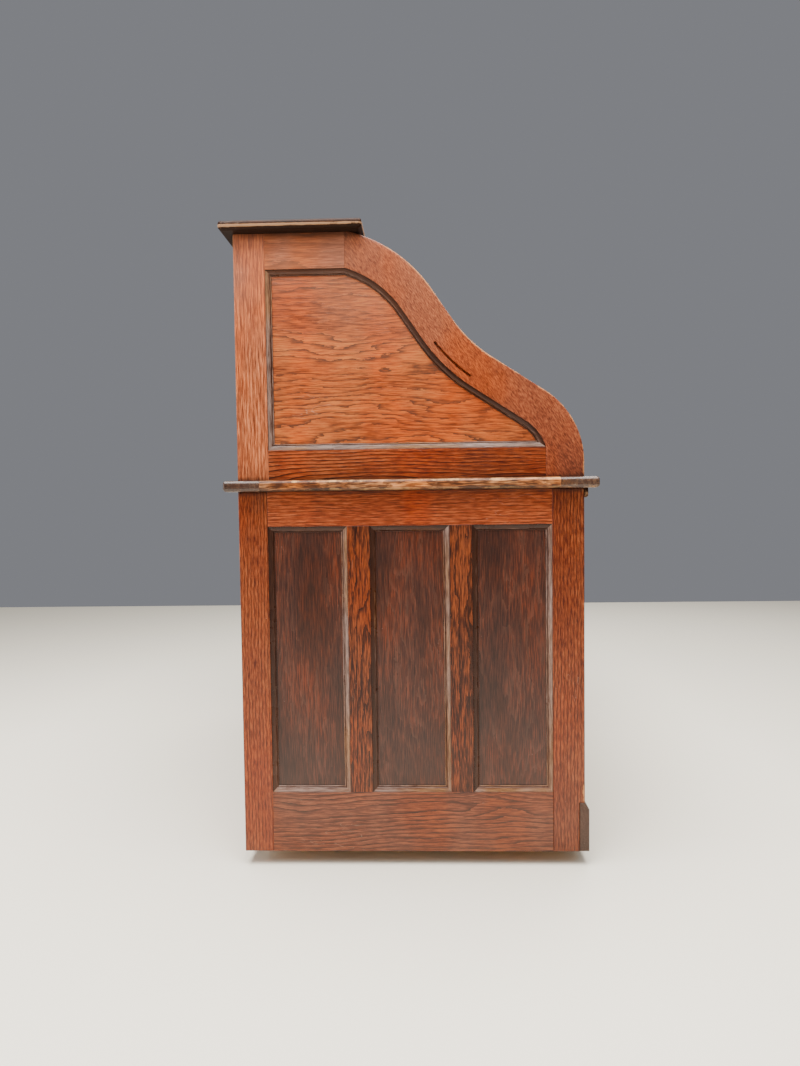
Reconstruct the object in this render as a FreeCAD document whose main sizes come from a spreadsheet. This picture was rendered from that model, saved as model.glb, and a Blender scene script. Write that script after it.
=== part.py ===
"""Roll top desk: a double pedestal desk with a sliding tambour over a gallery of pigeonholes.

Millimetres. X runs along the desk, the sitter is at -Y, Z is up, and the origin is on the floor
under the middle of the writing top.
"""

import FreeCAD, Part
import math
import os
import Sketcher

Vector = FreeCAD.Vector

# Driving sizes: alias, value in millimetres or degrees, what it is.
SIZES = [
    ("desk_wide", 1372, "writing top, left end to right end"),
    ("desk_deep", 734, "writing top, front edge to back edge"),
    ("desk_tall", 1283, "floor to the top of the top board"),
    ("writing_tall", 780, "floor to the writing surface"),
    ("slab_thick", 22, "writing top thickness"),
    ("board_thick", 19, "top board thickness"),
    ("end_over", 28, "overhang of both tops at each end"),
    ("front_over", 25, "overhang of the writing top in front of the case"),
    ("back_over", 24, "overhang of both tops behind the case"),
    ("nose_round", 8, "rounding of the tops' outer edges"),
    ("floor_gap", 30, "floor to the underside of the case"),
    ("frame_thick", 24, "thickness of the framed ends"),
    ("stile_back", 58, "width of the lower back stiles"),
    ("stile_front", 63, "width of the lower front stiles"),
    ("muntin_wide", 45, "width of the muntins between the lower panels"),
    ("rail_upper", 70, "height of the lower ends' top rails"),
    ("rail_lower", 121, "height of the lower ends' bottom rails"),
    ("panel_thick", 8, "thickness of every panel"),
    ("panel_set", 8, "depth of the panels below the frame's face"),
    ("panel_tongue", 8, "how far a panel reaches into its groove"),
    ("fit_gap", 0.3, "clearance of a loose fit, each side"),
    ("run_gap", 1.5, "running clearance of a drawer, each side"),
    ("mould_wide", 12, "width of the mouldings round the panels"),
    ("mould_bevel", 7, "bevel of the mouldings"),
    ("upper_stile", 62, "width of the upper back stiles"),
    ("upper_rail", 70, "height of the upper ends' top rails"),
    ("upper_foot", 60, "height of the upper ends' bottom rails"),
    ("curved_wide", 70, "width of the curved stiles, across the curve"),
    ("crest_over", 26.5, "overhang of the top board in front of the curve's end"),
    ("low_round", 167, "radius of the curve's lower, convex bend"),
    ("low_slope", 33, "slope of the curve after its lower bend"),
    ("low_run", 123, "length of the curve's lower straight"),
    ("mid_round", 273.5, "radius of the curve's hollow bend"),
    ("mid_slope", 55.6, "slope of the curve after its hollow bend"),
    ("mid_run", 73, "length of the curve's upper straight"),
    ("top_round", 279, "radius of the curve's upper, convex bend"),
    ("top_slope", 15, "slope of the curve where it meets the top board"),
    ("slot_in", 54.5, "slot's centre line, in from the curve"),
    ("slot_wide", 5, "width of the routed slot"),
    ("slot_deep", 8, "depth of the routed slot"),
    ("slot_from", 279, "start of the slot, along its own line from the writing top"),
    ("slot_long", 100, "length of the slot between its end centres"),
    ("track_in", 20, "track's centre line, in from the curve"),
    ("track_wide", 8, "width of the track"),
    ("track_deep", 8, "depth of the track in the ends"),
    ("track_corner", 90, "radius of the track's top back corner"),
    ("track_back", 33, "track's back run, in from the back of the case"),
    ("slat_pitch", 21, "spacing of the tambour slats"),
    ("slat_split", 0.8, "gap between two slats"),
    ("slat_crown", 8, "slat's crown above the track's centre line"),
    ("slat_edge", 4.5, "slat's edge above the track's centre line"),
    ("slat_back", 5, "slat's flat back below the track's centre line"),
    ("tongue_thick", 6, "thickness of the tongues in the track"),
    ("tongue_long", 6.5, "length of the tongues past the slats' ends"),
    ("canvas_thick", 1, "thickness of the canvas behind the slats"),
    ("canvas_in", 34, "canvas edge, in from the slats' ends"),
    ("side_gap", 1, "gap between the slats' ends and the framed ends"),
    ("lift_tall", 46, "height of the lift rail"),
    ("lift_face", 13, "lift rail's face in front of the track's centre line"),
    ("lift_back", 10, "lift rail's back behind the track's centre line"),
    ("lift_gap", 0.5, "lift rail above the writing surface when shut"),
    ("grip_wide", 104, "width of the two lift handles"),
    ("grip_proud", 22, "how far the lift handles stand out"),
    ("grip_apart", 400, "distance between the lift handles' centres"),
    ("lock_wide", 70, "width of the roll lock's case"),
    ("lock_tall", 34, "height of the roll lock's case"),
    ("lock_thick", 12, "thickness of the roll lock's case"),
    ("barrel_round", 6, "radius of the lock's barrel"),
    ("bolt_wide", 24, "width of the lock bolt"),
    ("bolt_thick", 5, "thickness of the lock bolt"),
    ("bolt_tall", 20, "length of the lock bolt"),
    ("pedestal_wide", 370, "width of each pedestal"),
    ("side_thick", 20, "thickness of the pedestals' inner sides"),
    ("back_thick", 10, "thickness of the pedestals' backs"),
    ("bottom_thick", 16, "thickness of the pedestals' bottoms"),
    ("rail_head", 20, "height of the rail under the writing top"),
    ("rail_thin", 16, "height of the rails between drawers"),
    ("rail_foot", 22, "height of the rail under the lowest drawer"),
    ("rail_deep", 52, "depth of the drawer rails"),
    ("runner_wide", 18, "width of the drawer runners"),
    ("plinth_tall", 99, "height of the plinths"),
    ("plinth_thick", 20, "thickness of the plinths"),
    ("plinth_proud", 9, "how far the plinths stand out in front"),
    ("plinth_slope", 14, "height of the plinths' chamfer"),
    ("bead_tall", 18.5, "height of the bead under the writing top"),
    ("bead_proud", 7.7, "how far the bead stands out"),
    ("slide_tall", 25, "opening for a writing slide"),
    ("slide_thick", 20, "thickness of a writing slide"),
    ("slide_long", 520, "length of a writing slide"),
    ("drawer_small", 130, "opening of the top drawers"),
    ("drawer_mid", 160, "opening of the left middle drawer"),
    ("drawer_long", 570, "length of a pedestal drawer's box"),
    ("centre_tall", 95, "opening of the centre drawer"),
    ("centre_long", 420, "length of the centre drawer's box"),
    ("front_thick", 20, "thickness of the drawer fronts"),
    ("wall_thick", 12, "thickness of the drawer sides and backs"),
    ("floor_thick", 6, "thickness of the drawer bottoms"),
    ("box_drop", 14, "drawer side below the top of its opening"),
    ("pull_wide", 112, "width of a drawer pull"),
    ("pull_proud", 21, "how far a drawer pull stands out"),
    ("pull_tall", 28, "height of a drawer pull"),
    ("knob_round", 9, "radius of the small knobs"),
    ("knob_proud", 16, "how far the small knobs stand out"),
    ("modesty_thick", 12, "thickness of the modesty panel"),
    ("modesty_tall", 470, "height of the modesty panel"),
    ("modesty_in", 80, "modesty panel, in from the back of the case"),
    ("cross_wide", 60, "width of the cleats across the writing top's ends"),
    ("edge_front", 75, "depth of the writing top's front rail"),
    ("edge_back", 72, "depth of the writing top's back rail"),
    ("back_frame", 18, "thickness of the upper back's frame"),
    ("back_rail", 65, "width of the upper back's rails and stiles"),
    ("gallery_front", 55, "gallery's front edge, behind the middle of the desk"),
    ("gallery_back", 53, "gallery's back, in from the back of the case"),
    ("gallery_low", 79, "gallery's top below the top board"),
    ("gallery_in", 6, "gallery's ends, in from the framed ends"),
    ("ply_thick", 10, "thickness of the gallery's boards"),
    ("ply_thin", 6, "thickness of the gallery's dividers and back"),
    ("nook_tall", 113, "opening of the gallery's bottom row"),
    ("foot_wide", 50, "side of the square foot blocks"),
    ("foot_in", 95, "foot blocks' outer faces, in from the case's faces"),
    ("glide_round", 14, "radius of the steel glides"),
    ("glide_thick", 3, "thickness of the steel glides"),
]

SLAT_GROUPS = (4, 2, 2, 2, 2, 4, 4, 4, 3, 3)  # slats on each piece of canvas, from the lift rail up
GALLERY_BAYS = 6
BACK_PANELS = 4

DOC = FreeCAD.newDocument("RollTopDesk")
NODES = []


class Dim:
    """A size that carries its value and the expression that the document works it out with."""

    def __init__(self, value, text):
        self.value = value
        self.text = text

    def __add__(self, other):
        other = dim(other)
        return Dim(self.value + other.value, f"({self.text} + {other.text})")

    def __sub__(self, other):
        other = dim(other)
        return Dim(self.value - other.value, f"({self.text} - {other.text})")

    def __mul__(self, other):
        other = dim(other)
        return Dim(self.value * other.value, f"{self.text} * {other.text}")

    def __truediv__(self, other):
        other = dim(other)
        return Dim(self.value / other.value, f"{self.text} / {other.text}")

    def __neg__(self):
        return self * -1

    def __radd__(self, other):
        return dim(other) + self

    def __rsub__(self, other):
        return dim(other) - self

    __rmul__ = __mul__

    def __float__(self):
        return float(self.value)


def dim(size):
    """Any size as a Dim; a plain number stands in its expression as it is."""
    if isinstance(size, Dim):
        return size
    return Dim(float(size), f"({float(size)!r})")


def make_sheet():
    """The spreadsheet of driving sizes; returns them as a dictionary of Dims."""
    sheet = DOC.addObject("Spreadsheet::Sheet", "Sizes")
    dims = {}
    for row, (alias, value, meaning) in enumerate(SIZES, start=1):
        sheet.set(f"A{row}", meaning)
        sheet.set(f"B{row}", str(value))
        sheet.setAlias(f"B{row}", alias)
        dims[alias] = Dim(float(value), f"Sizes.{alias}")
    DOC.recompute()
    return dims


S = make_sheet()

# Planes that more than one sub-part meets, worked out from the driving sizes.
CASE_X = S["desk_wide"] / 2 - S["end_over"]
CASE_FRONT = S["front_over"] - S["desk_deep"] / 2
CASE_BACK = S["desk_deep"] / 2 - S["back_over"]
INNER_X = CASE_X - S["frame_thick"]
SLAB_LOW = S["writing_tall"] - S["slab_thick"]
BOARD_LOW = S["desk_tall"] - S["board_thick"]
PEDESTAL_X = CASE_X - S["pedestal_wide"]
PEDESTAL_IN = PEDESTAL_X + S["side_thick"]
PANEL_OUT = CASE_X - S["panel_set"]
PANEL_IN = PANEL_OUT - S["panel_thick"]
PLINTH_BACK = CASE_FRONT - S["plinth_proud"] + S["plinth_thick"]
PLINTH_TOP = S["floor_gap"] + S["plinth_tall"]
TRACK_Y = CASE_FRONT + S["track_in"]
LIFT_X = INNER_X - S["side_gap"] * 2


# ---- document helpers -------------------------------------------------------------------------

def bind(item, prop, size):
    """Sets one property from a size's expression."""
    item.setExpression(prop, dim(size).text)


def block(name, low, high):
    """A board between two opposite corners."""
    box = DOC.addObject("Part::Box", name)
    for prop, axis in (("Length", 0), ("Width", 1), ("Height", 2)):
        bind(box, prop, dim(high[axis]) - low[axis])
    for prop, axis in (("x", 0), ("y", 1), ("z", 2)):
        bind(box, f"Placement.Base.{prop}", low[axis])
    return box


def sided(side, near, far):
    """The x range from near to far of the middle, on the right (1) or the left (-1)."""
    if side > 0:
        return dim(near), dim(far)
    return -dim(far), -dim(near)


def side_block(name, side, x_range, y_range, z_range):
    """A board on one side of the desk, its x range counted outwards from the middle."""
    low_x, high_x = sided(side, *x_range)
    return block(name, (low_x, y_range[0], z_range[0]), (high_x, y_range[1], z_range[1]))


def cylinder(name, radius, length, start, along_y=True):
    """A round bar from its start point, along +Y or up."""
    bar = DOC.addObject("Part::Cylinder", name)
    bind(bar, "Radius", radius)
    bind(bar, "Height", length)
    for prop, size in zip("xyz", start):
        bind(bar, f"Placement.Base.{prop}", size)
    if along_y:
        turn = FreeCAD.Rotation(Vector(1, 0, 0), -90)
        bar.Placement = FreeCAD.Placement(bar.Placement.Base, turn)
    return bar


def cut(name, base, tool):
    result = DOC.addObject("Part::Cut", name)
    result.Base = base
    result.Tool = tool
    return result


def fuse(name, *items):
    result = DOC.addObject("Part::MultiFuse", name)
    result.Shapes = list(items)
    return result


def group(name, items):
    """Several solids that stay separate in one document object."""
    result = DOC.addObject("Part::Compound", name)
    result.Links = list(items)
    return result


def coded(name, shape):
    """A shape that Part's own functions made."""
    item = DOC.addObject("Part::Feature", name)
    item.Shape = shape
    return item


def node(item, label):
    """Marks a document object as one sub-part, to be written under its label."""
    item.Label = label
    NODES.append(item)
    return item


def plane_of(body, role):
    return next(feature for feature in body.Origin.OriginFeatures if feature.Role == role)


def profile_sketch(body, name, role, points):
    """A closed outline of straight lines, each corner placed by the sheet's sizes."""
    sketch = body.newObject("Sketcher::SketchObject", name)
    sketch.AttachmentSupport = [(plane_of(body, role), "")]
    sketch.MapMode = "FlatFace"
    corners = [(dim(a), dim(b)) for a, b in points]
    count = len(corners)
    for index in range(count):
        begin = corners[index]
        end = corners[(index + 1) % count]
        line = Part.LineSegment(
            Vector(begin[0].value, begin[1].value, 0), Vector(end[0].value, end[1].value, 0)
        )
        sketch.addGeometry(line, False)
    for index in range(count):
        sketch.addConstraint(Sketcher.Constraint("Coincident", index, 2, (index + 1) % count, 1))
    for index, corner in enumerate(corners):
        for kind, size in zip(("DistanceX", "DistanceY"), corner):
            rule = Sketcher.Constraint(kind, -1, 1, index, 1, size.value)
            number = sketch.addConstraint(rule)
            sketch.setExpression(f"Constraints[{number}]", size.text)
    return sketch


def prism(name, outline, x_low, x_high):
    """A PartDesign body: an outline in y and z, padded along X."""
    body = DOC.addObject("PartDesign::Body", name)
    sketch = profile_sketch(body, f"{name}_outline", "YZ_Plane", outline)
    pad = body.newObject("PartDesign::Pad", f"{name}_pad")
    pad.Profile = sketch
    bind(pad, "Length", dim(x_high) - x_low)
    bind(body, "Placement.Base.x", x_low)
    DOC.recompute()
    return body


def slab(name, x_range, y_range, z_range):
    """A PartDesign body: a rectangle on the floor plane, padded up and lifted to its height."""
    body = DOC.addObject("PartDesign::Body", name)
    outline = [(x, y) for x, y in zip((*x_range, *reversed(x_range)), (y_range[0],) * 2 + (y_range[1],) * 2)]
    sketch = profile_sketch(body, f"{name}_outline", "XY_Plane", outline)
    pad = body.newObject("PartDesign::Pad", f"{name}_pad")
    pad.Profile = sketch
    bind(pad, "Length", dim(z_range[1]) - z_range[0])
    bind(body, "Placement.Base.z", z_range[0])
    DOC.recompute()
    return body


def round_edges(body, radius, wanted):
    """Rounds the edges of a body's last feature whose middle and direction are wanted."""
    base = body.Tip
    names = []
    for index, edge in enumerate(base.Shape.Edges, start=1):
        middle = edge.valueAt((edge.FirstParameter + edge.LastParameter) / 2)
        direction = edge.tangentAt(edge.FirstParameter)
        if wanted(middle, direction):
            names.append(f"Edge{index}")
    fillet = body.newObject("PartDesign::Fillet", f"{body.Name}_round")
    fillet.Base = (base, names)
    bind(fillet, "Radius", radius)
    DOC.recompute()


def same(a, b):
    return abs(float(a) - float(b)) < 0.01


# ---- the curve of the ends and the tambour's track --------------------------------------------

class Route:
    """A tangent chain of straights and arcs in the y-z plane.

    A step is (length, 0) for a straight or (radius, turn) for an arc, with the turn in degrees,
    negative to the right. Heading 90 is up and heading 0 is towards the back.
    """

    def __init__(self, start, heading, steps):
        self.steps = []
        place, angle, along = start, heading, 0.0
        for size, turn in steps:
            length = abs(math.radians(turn)) * size if turn else size
            self.steps.append((along, length, place, angle, size, turn))
            place, angle = self.walk(place, angle, size, turn, length)
            along += length
        self.length = along
        self.plan = (start, heading, steps)

    @staticmethod
    def walk(place, angle, size, turn, distance):
        """Where the chain is after some distance into one step."""
        y, z = place
        a = math.radians(angle)
        if not turn:
            return (y + distance * math.cos(a), z + distance * math.sin(a)), angle
        side = 1 if turn > 0 else -1
        swept = side * distance / size
        centre = (y - side * size * math.sin(a), z + side * size * math.cos(a))
        end = a + swept
        return (
            (centre[0] + side * size * math.sin(end), centre[1] - side * size * math.cos(end)),
            math.degrees(end),
        )

    def at(self, along, inward=0.0):
        """Point and heading at a distance along the chain, stepped inwards (to the right)."""
        for begin, length, place, angle, size, turn in self.steps:
            if along <= begin + length + 1e-9:
                break
        (y, z), heading = self.walk(place, angle, size, turn, along - begin)
        a = math.radians(heading)
        return (y + inward * math.sin(a), z - inward * math.cos(a)), heading

    def parallel(self, inward):
        """The chain moved inwards by a constant distance."""
        (y, z), heading, steps = self.plan
        a = math.radians(heading)
        moved = []
        for size, turn in steps:
            grown = size if not turn else size + (inward if turn > 0 else -inward)
            moved.append((grown, turn))
        return Route((y + inward * math.sin(a), z - inward * math.cos(a)), heading, moved)

    def edges(self, begin, end, inward=0.0, x=0.0):
        """The stretch between two distances as edges in the plane at x."""
        found = []
        for start, length, _place, _angle, _size, turn in self.steps:
            low, high = max(begin, start), min(end, start + length)
            if high - low < 1e-6:
                continue
            spots = [self.at(spot, inward)[0] for spot in (low, (low + high) / 2, high)]
            points = [Vector(x, y, z) for y, z in spots]
            if turn:
                found.append(Part.Arc(*points).toShape())
            else:
                found.append(Part.makeLine(points[0], points[2]))
        return found

    def reach(self, height):
        """How far along the chain first gets to a height."""
        low, high = 0.0, self.length
        for begin, length, *_rest in self.steps:
            if self.at(begin + length)[0][1] >= height:
                low, high = begin, begin + length
                break
        for _halving in range(60):
            middle = (low + high) / 2
            if self.at(middle)[0][1] < height:
                low = middle
            else:
                high = middle
        return low


def outer_route():
    """The ends' curved edge, carried on inside the case as the line that the track is parallel to."""
    low_slope = S["low_slope"].value
    mid_slope = S["mid_slope"].value
    top_slope = S["top_slope"].value
    bends = [
        (S["low_round"].value, low_slope - 90),
        (S["low_run"].value, 0),
        (S["mid_round"].value, mid_slope - low_slope),
        (S["mid_run"].value, 0),
        (S["top_round"].value, top_slope - mid_slope),
    ]
    trial = Route((0.0, 0.0), 90, bends)
    run, rise = trial.at(trial.length)[0]
    upright = BOARD_LOW.value - S["writing_tall"].value - rise
    corner = S["track_corner"].value + S["track_in"].value
    back_line = CASE_BACK.value - S["track_back"].value + S["track_in"].value
    level_from = CASE_FRONT.value + run + S["top_round"].value * math.sin(math.radians(top_slope))
    level = back_line - corner - level_from
    crown = Route((CASE_FRONT.value, S["writing_tall"].value), 90, [(upright, 0), *bends])
    level_height = crown.at(crown.length)[0][1] + S["top_round"].value * (
        1 - math.cos(math.radians(top_slope))
    )
    drop = level_height - corner - S["writing_tall"].value - S["fit_gap"].value
    steps = [(upright, 0), *bends, (S["top_round"].value, -top_slope), (level, 0), (corner, -90), (drop, 0)]
    return Route((CASE_FRONT.value, S["writing_tall"].value), 90, steps), crown.length


OUTER, CURVE_LENGTH = outer_route()
TRACK = OUTER.parallel(S["track_in"].value)
CURVE_END = OUTER.at(CURVE_LENGTH)[0][0]


def wire_face(edges):
    return Part.Face(Part.Wire(Part.__sortEdges__(edges)))


def extrude_x(face, x_low, x_high):
    """A flat outline drawn at x = 0, made solid between two x planes."""
    solid = face.extrude(Vector(x_high - x_low, 0, 0))
    solid.translate(Vector(x_low, 0, 0))
    return solid


def under_curve(inward, back, bottom, top, x_low, x_high):
    """All that lies inside a parallel of the curve, as far as a back, bottom and top plane."""
    line = OUTER.parallel(inward)
    level_end = sum(step[1] for step in line.steps[:7])
    far = CASE_BACK.value
    foot = S["writing_tall"].value
    edges = line.edges(0, level_end)
    start, end = line.at(0)[0], line.at(level_end)[0]
    corners = [Vector(0, *end), Vector(0, far, end[1]), Vector(0, far, foot), Vector(0, *start)]
    edges += [Part.makeLine(a, b) for a, b in zip(corners, corners[1:])]
    solid = extrude_x(wire_face(edges), x_low, x_high)
    low_y = CASE_FRONT.value - 1
    room = Part.makeBox(x_high - x_low, back - low_y, top - bottom, Vector(x_low, low_y, bottom))
    return solid.common(room).removeSplitter()


def band(line, begin, end, inward, outward, x_low, x_high):
    """A strip of even thickness along a stretch of a chain."""
    inner = line.edges(begin, end, inward)
    outer = line.edges(begin, end, -outward)
    caps = []
    for spot in (begin, end):
        near, far = line.at(spot, inward)[0], line.at(spot, -outward)[0]
        caps.append(Part.makeLine(Vector(0, *near), Vector(0, *far)))
    return extrude_x(wire_face(inner + outer + caps), x_low, x_high)


def both_sides(maker, x_near, x_far):
    """One solid on each side of the desk, from a maker that is given an x range."""
    solids = []
    for side in (-1, 1):
        low, high = sided(side, x_near, x_far)
        solids.append(maker(low.value, high.value))
    return Part.makeCompound(solids)


# ---- lower case: framed ends ------------------------------------------------------------------

MUNTIN_STEP = (CASE_BACK - CASE_FRONT - S["stile_back"] - S["stile_front"] - S["muntin_wide"] * 2) / 3
PANEL_LOW = S["floor_gap"] + S["rail_lower"]
PANEL_HIGH = SLAB_LOW - S["rail_upper"]


def lower_openings():
    """The three panel openings of a lower end, each as its y range, from front to back."""
    spots = []
    for index in range(3):
        begin = CASE_FRONT + S["stile_front"] + (MUNTIN_STEP + S["muntin_wide"]) * index
        spots.append((begin, begin + MUNTIN_STEP))
    return spots


def lower_panel_blocks(name, grow, thick_grow):
    """Six panels, or the pockets for them when grown by a clearance."""
    reach = S["panel_tongue"] + grow
    blocks = []
    for side in (-1, 1):
        for index, (front, back) in enumerate(lower_openings()):
            blocks.append(side_block(
                f"{name}_{'l' if side < 0 else 'r'}{index}", side,
                (PANEL_IN - thick_grow, PANEL_OUT + thick_grow),
                (front - reach, back + reach),
                (PANEL_LOW - reach, PANEL_HIGH + reach),
            ))
    return group(name, blocks)


def lower_ends():
    """Stiles, rails, muntins and panels of both lower ends."""
    node(lower_panel_blocks("end_panels_lower", dim(0), dim(0)), "end_panels_lower")
    pockets = lower_panel_blocks("panel_pockets_lower", S["fit_gap"], S["fit_gap"])
    full = (INNER_X, CASE_X)
    stiles, rails, muntins, notches = [], [], [], []
    for side in (-1, 1):
        tag = "l" if side < 0 else "r"
        tall = (S["floor_gap"], SLAB_LOW)
        front_in = CASE_FRONT + S["stile_front"]
        back_in = CASE_BACK - S["stile_back"]
        stiles.append(side_block(f"front_stile_{tag}", side, full, (CASE_FRONT, front_in), tall))
        stiles.append(side_block(f"back_stile_{tag}", side, full, (back_in, CASE_BACK), tall))
        for place, span in (("low", (S["floor_gap"], PANEL_LOW)), ("top", (PANEL_HIGH, SLAB_LOW))):
            rails.append(side_block(f"{place}_rail_{tag}", side, full, (front_in, back_in), span))
        for index, (front, _back) in enumerate(lower_openings()[1:]):
            y_range = (front - S["muntin_wide"], front)
            muntins.append(side_block(f"muntin_{tag}{index}", side, full, y_range, (PANEL_LOW, PANEL_HIGH)))
        notches.append(side_block(
            f"plinth_notch_{tag}", side, (PEDESTAL_X, CASE_X), (CASE_FRONT, PLINTH_BACK),
            (S["floor_gap"], PLINTH_TOP),
        ))
    notch = group("plinth_notches", notches)
    notched = cut("stiles_notched", group("stiles_whole", stiles), notch)
    node(cut("stiles_grooved", notched, pockets), "end_stiles_lower")
    node(cut("rails_grooved", group("rails_whole", rails), pockets), "end_rails_lower")
    node(cut("muntins_grooved", group("muntins_whole", muntins), pockets), "end_muntins_lower")
    return notch


# ---- upper case: curved ends ------------------------------------------------------------------

UPPER_LOW = S["writing_tall"] + S["upper_foot"]
UPPER_HIGH = BOARD_LOW - S["upper_rail"]
UPPER_BACK_IN = CASE_BACK - S["upper_stile"]
CURVE_INNER = OUTER.parallel(S["curved_wide"].value)
TOP_JOINT = CURVE_INNER.at(CURVE_INNER.reach(UPPER_HIGH.value))[0][0]
FOOT_JOINT = CURVE_INNER.at(CURVE_INNER.reach(UPPER_LOW.value))[0][0]


def upper_panel(reach, x_near, x_far):
    """The upper ends' panel outline, grown by some reach into its grooves."""
    grown = S["curved_wide"].value - reach

    def one(x_low, x_high):
        return under_curve(
            grown, UPPER_BACK_IN.value + reach,
            UPPER_LOW.value - reach, UPPER_HIGH.value + reach, x_low, x_high
        )

    return both_sides(one, x_near, x_far)


def track_cutter():
    """The track of the tambour, as deep in each end as its tongues need."""
    half = S["track_wide"].value / 2

    def one(x_low, x_high):
        return band(TRACK, 0, TRACK.length, half, half, x_low, x_high)

    return both_sides(one, INNER_X - 1, INNER_X + S["track_deep"])


def slot_cutter():
    """The routed slot that follows the curve in each curved stile."""
    line = OUTER.parallel(S["slot_in"].value)
    begin = S["slot_from"].value
    end = begin + S["slot_long"].value
    half = S["slot_wide"].value / 2

    def one(x_low, x_high):
        solid = band(line, begin, end, half, half, x_low, x_high)
        for spot in (begin, end):
            y, z = line.at(spot)[0]
            solid = solid.fuse(Part.makeCylinder(half, x_high - x_low, Vector(x_low, y, z), Vector(1, 0, 0)))
        return solid

    return both_sides(one, CASE_X - S["slot_deep"], CASE_X + 1)


def upper_ends():
    """Stiles, rails, curved stiles and panels of both upper ends, with the tambour's track."""
    reach = S["panel_tongue"].value
    gap = S["fit_gap"].value
    pocket = coded("panel_pockets_upper", upper_panel(reach + gap, PANEL_IN - gap, PANEL_OUT + gap))
    track = coded("track_cutter", track_cutter())
    slot = coded("slot_cutter", slot_cutter())
    node(coded("upper_end_panels", upper_panel(reach, PANEL_IN, PANEL_OUT)), "upper_end_panels")

    def curved(x_low, x_high):
        foot, sill, top = S["writing_tall"].value, UPPER_LOW.value, BOARD_LOW.value
        back = CASE_BACK.value
        whole = under_curve(0, TOP_JOINT, foot, top, x_low, x_high)
        opening = under_curve(S["curved_wide"].value, back, sill, top, x_low, x_high)
        rail_start = Vector(x_low, FOOT_JOINT, foot)
        rail_room = Part.makeBox(x_high - x_low, back - FOOT_JOINT, sill - foot, rail_start)
        return whole.cut(opening).cut(rail_room)

    raw = coded("curved_whole", both_sides(curved, INNER_X, CASE_X))
    tools = coded("curved_cutters", Part.makeCompound([track.Shape, slot.Shape, pocket.Shape]))
    node(cut("curved_grooved", raw, tools), "curved_stiles")

    full = (INNER_X, CASE_X)
    stiles, rails = [], []
    for side in (-1, 1):
        tag = "l" if side < 0 else "r"
        tall = (S["writing_tall"], BOARD_LOW)
        stiles.append(side_block(f"upper_stile_{tag}", side, full, (UPPER_BACK_IN, CASE_BACK), tall))
        rails.append(side_block(
            f"upper_foot_{tag}", side, full, (dim(FOOT_JOINT), UPPER_BACK_IN),
            (S["writing_tall"], UPPER_LOW),
        ))
        rails.append(side_block(
            f"upper_rail_{tag}", side, full, (dim(TOP_JOINT), UPPER_BACK_IN), (UPPER_HIGH, BOARD_LOW)
        ))
    cutters = coded("straight_cutters", Part.makeCompound([track.Shape, pocket.Shape]))
    node(cut("upper_stiles_cut", group("upper_stiles_whole", stiles), cutters), "upper_back_stiles")
    node(cut("upper_rails_cut", group("upper_rails_whole", rails), cutters), "upper_end_rails")


# ---- mouldings round the panels ---------------------------------------------------------------

def strip(near, far, x_low, x_high, face_x):
    """One mitred strip: its long edge against the frame, its short edge bevelled towards the panel."""
    ends = [
        Part.makeLine(near[0].firstVertex(True).Point, far[0].firstVertex(True).Point),
        Part.makeLine(near[-1].lastVertex(True).Point, far[-1].lastVertex(True).Point),
    ]
    solid = extrude_x(wire_face([*near, *far, *ends]), x_low, x_high)
    spots = [edge.valueAt((edge.FirstParameter + edge.LastParameter) / 2) for edge in far]
    bevelled = []
    for edge in solid.Edges:
        middle = edge.valueAt((edge.FirstParameter + edge.LastParameter) / 2)
        if same(middle.x, face_x) and any(
            same(middle.y, spot.y) and same(middle.z, spot.z) for spot in spots
        ):
            bevelled.append(edge)
    return solid.makeChamfer(S["mould_bevel"].value, bevelled)


def strips_round(outline, inset, x_near, x_far):
    """Four mitred strips on both ends; outline and inset give a side's edges in the same order."""
    solids = []
    for side in (-1, 1):
        low, high = sided(side, x_near, x_far)
        for near, far in zip(outline, inset):
            solids.append(strip(near, far, low.value, high.value, side * float(x_far)))
    return solids


def rectangle_sides(y_low, y_high, z_low, z_high):
    corners = [(y_low, z_low), (y_high, z_low), (y_high, z_high), (y_low, z_high)]
    points = [Vector(0, float(y), float(z)) for y, z in corners]
    return [[Part.makeLine(a, b)] for a, b in zip(points, points[1:] + points[:1])]


def curved_sides(inset):
    """The upper opening's four sides in order: foot, back, top, and the curve down to the foot."""
    line = OUTER.parallel(S["curved_wide"].value + inset)
    foot, top, back = UPPER_LOW.value + inset, UPPER_HIGH.value - inset, UPPER_BACK_IN.value - inset
    low, high = line.reach(foot), line.reach(top)
    start, end = Vector(0, *line.at(low)[0]), Vector(0, *line.at(high)[0])
    straights = [
        [Part.makeLine(start, Vector(0, back, foot))],
        [Part.makeLine(Vector(0, back, foot), Vector(0, back, top))],
        [Part.makeLine(Vector(0, back, top), end)],
    ]
    return [*straights, line.edges(low, high)]


def mouldings():
    """Bevelled strips that cover the joint between each frame and its panel."""
    wide = S["mould_wide"].value
    solids = []
    for front, back in lower_openings():
        outline = rectangle_sides(front, back, PANEL_LOW, PANEL_HIGH)
        inset = rectangle_sides(front + wide, back - wide, PANEL_LOW + wide, PANEL_HIGH - wide)
        solids += strips_round(outline, inset, PANEL_OUT, CASE_X)
    solids += strips_round(curved_sides(0), curved_sides(wide), PANEL_OUT, CASE_X)
    node(coded("panel_mouldings", Part.makeCompound(solids)), "panel_mouldings")


# ---- pedestals --------------------------------------------------------------------------------

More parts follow.
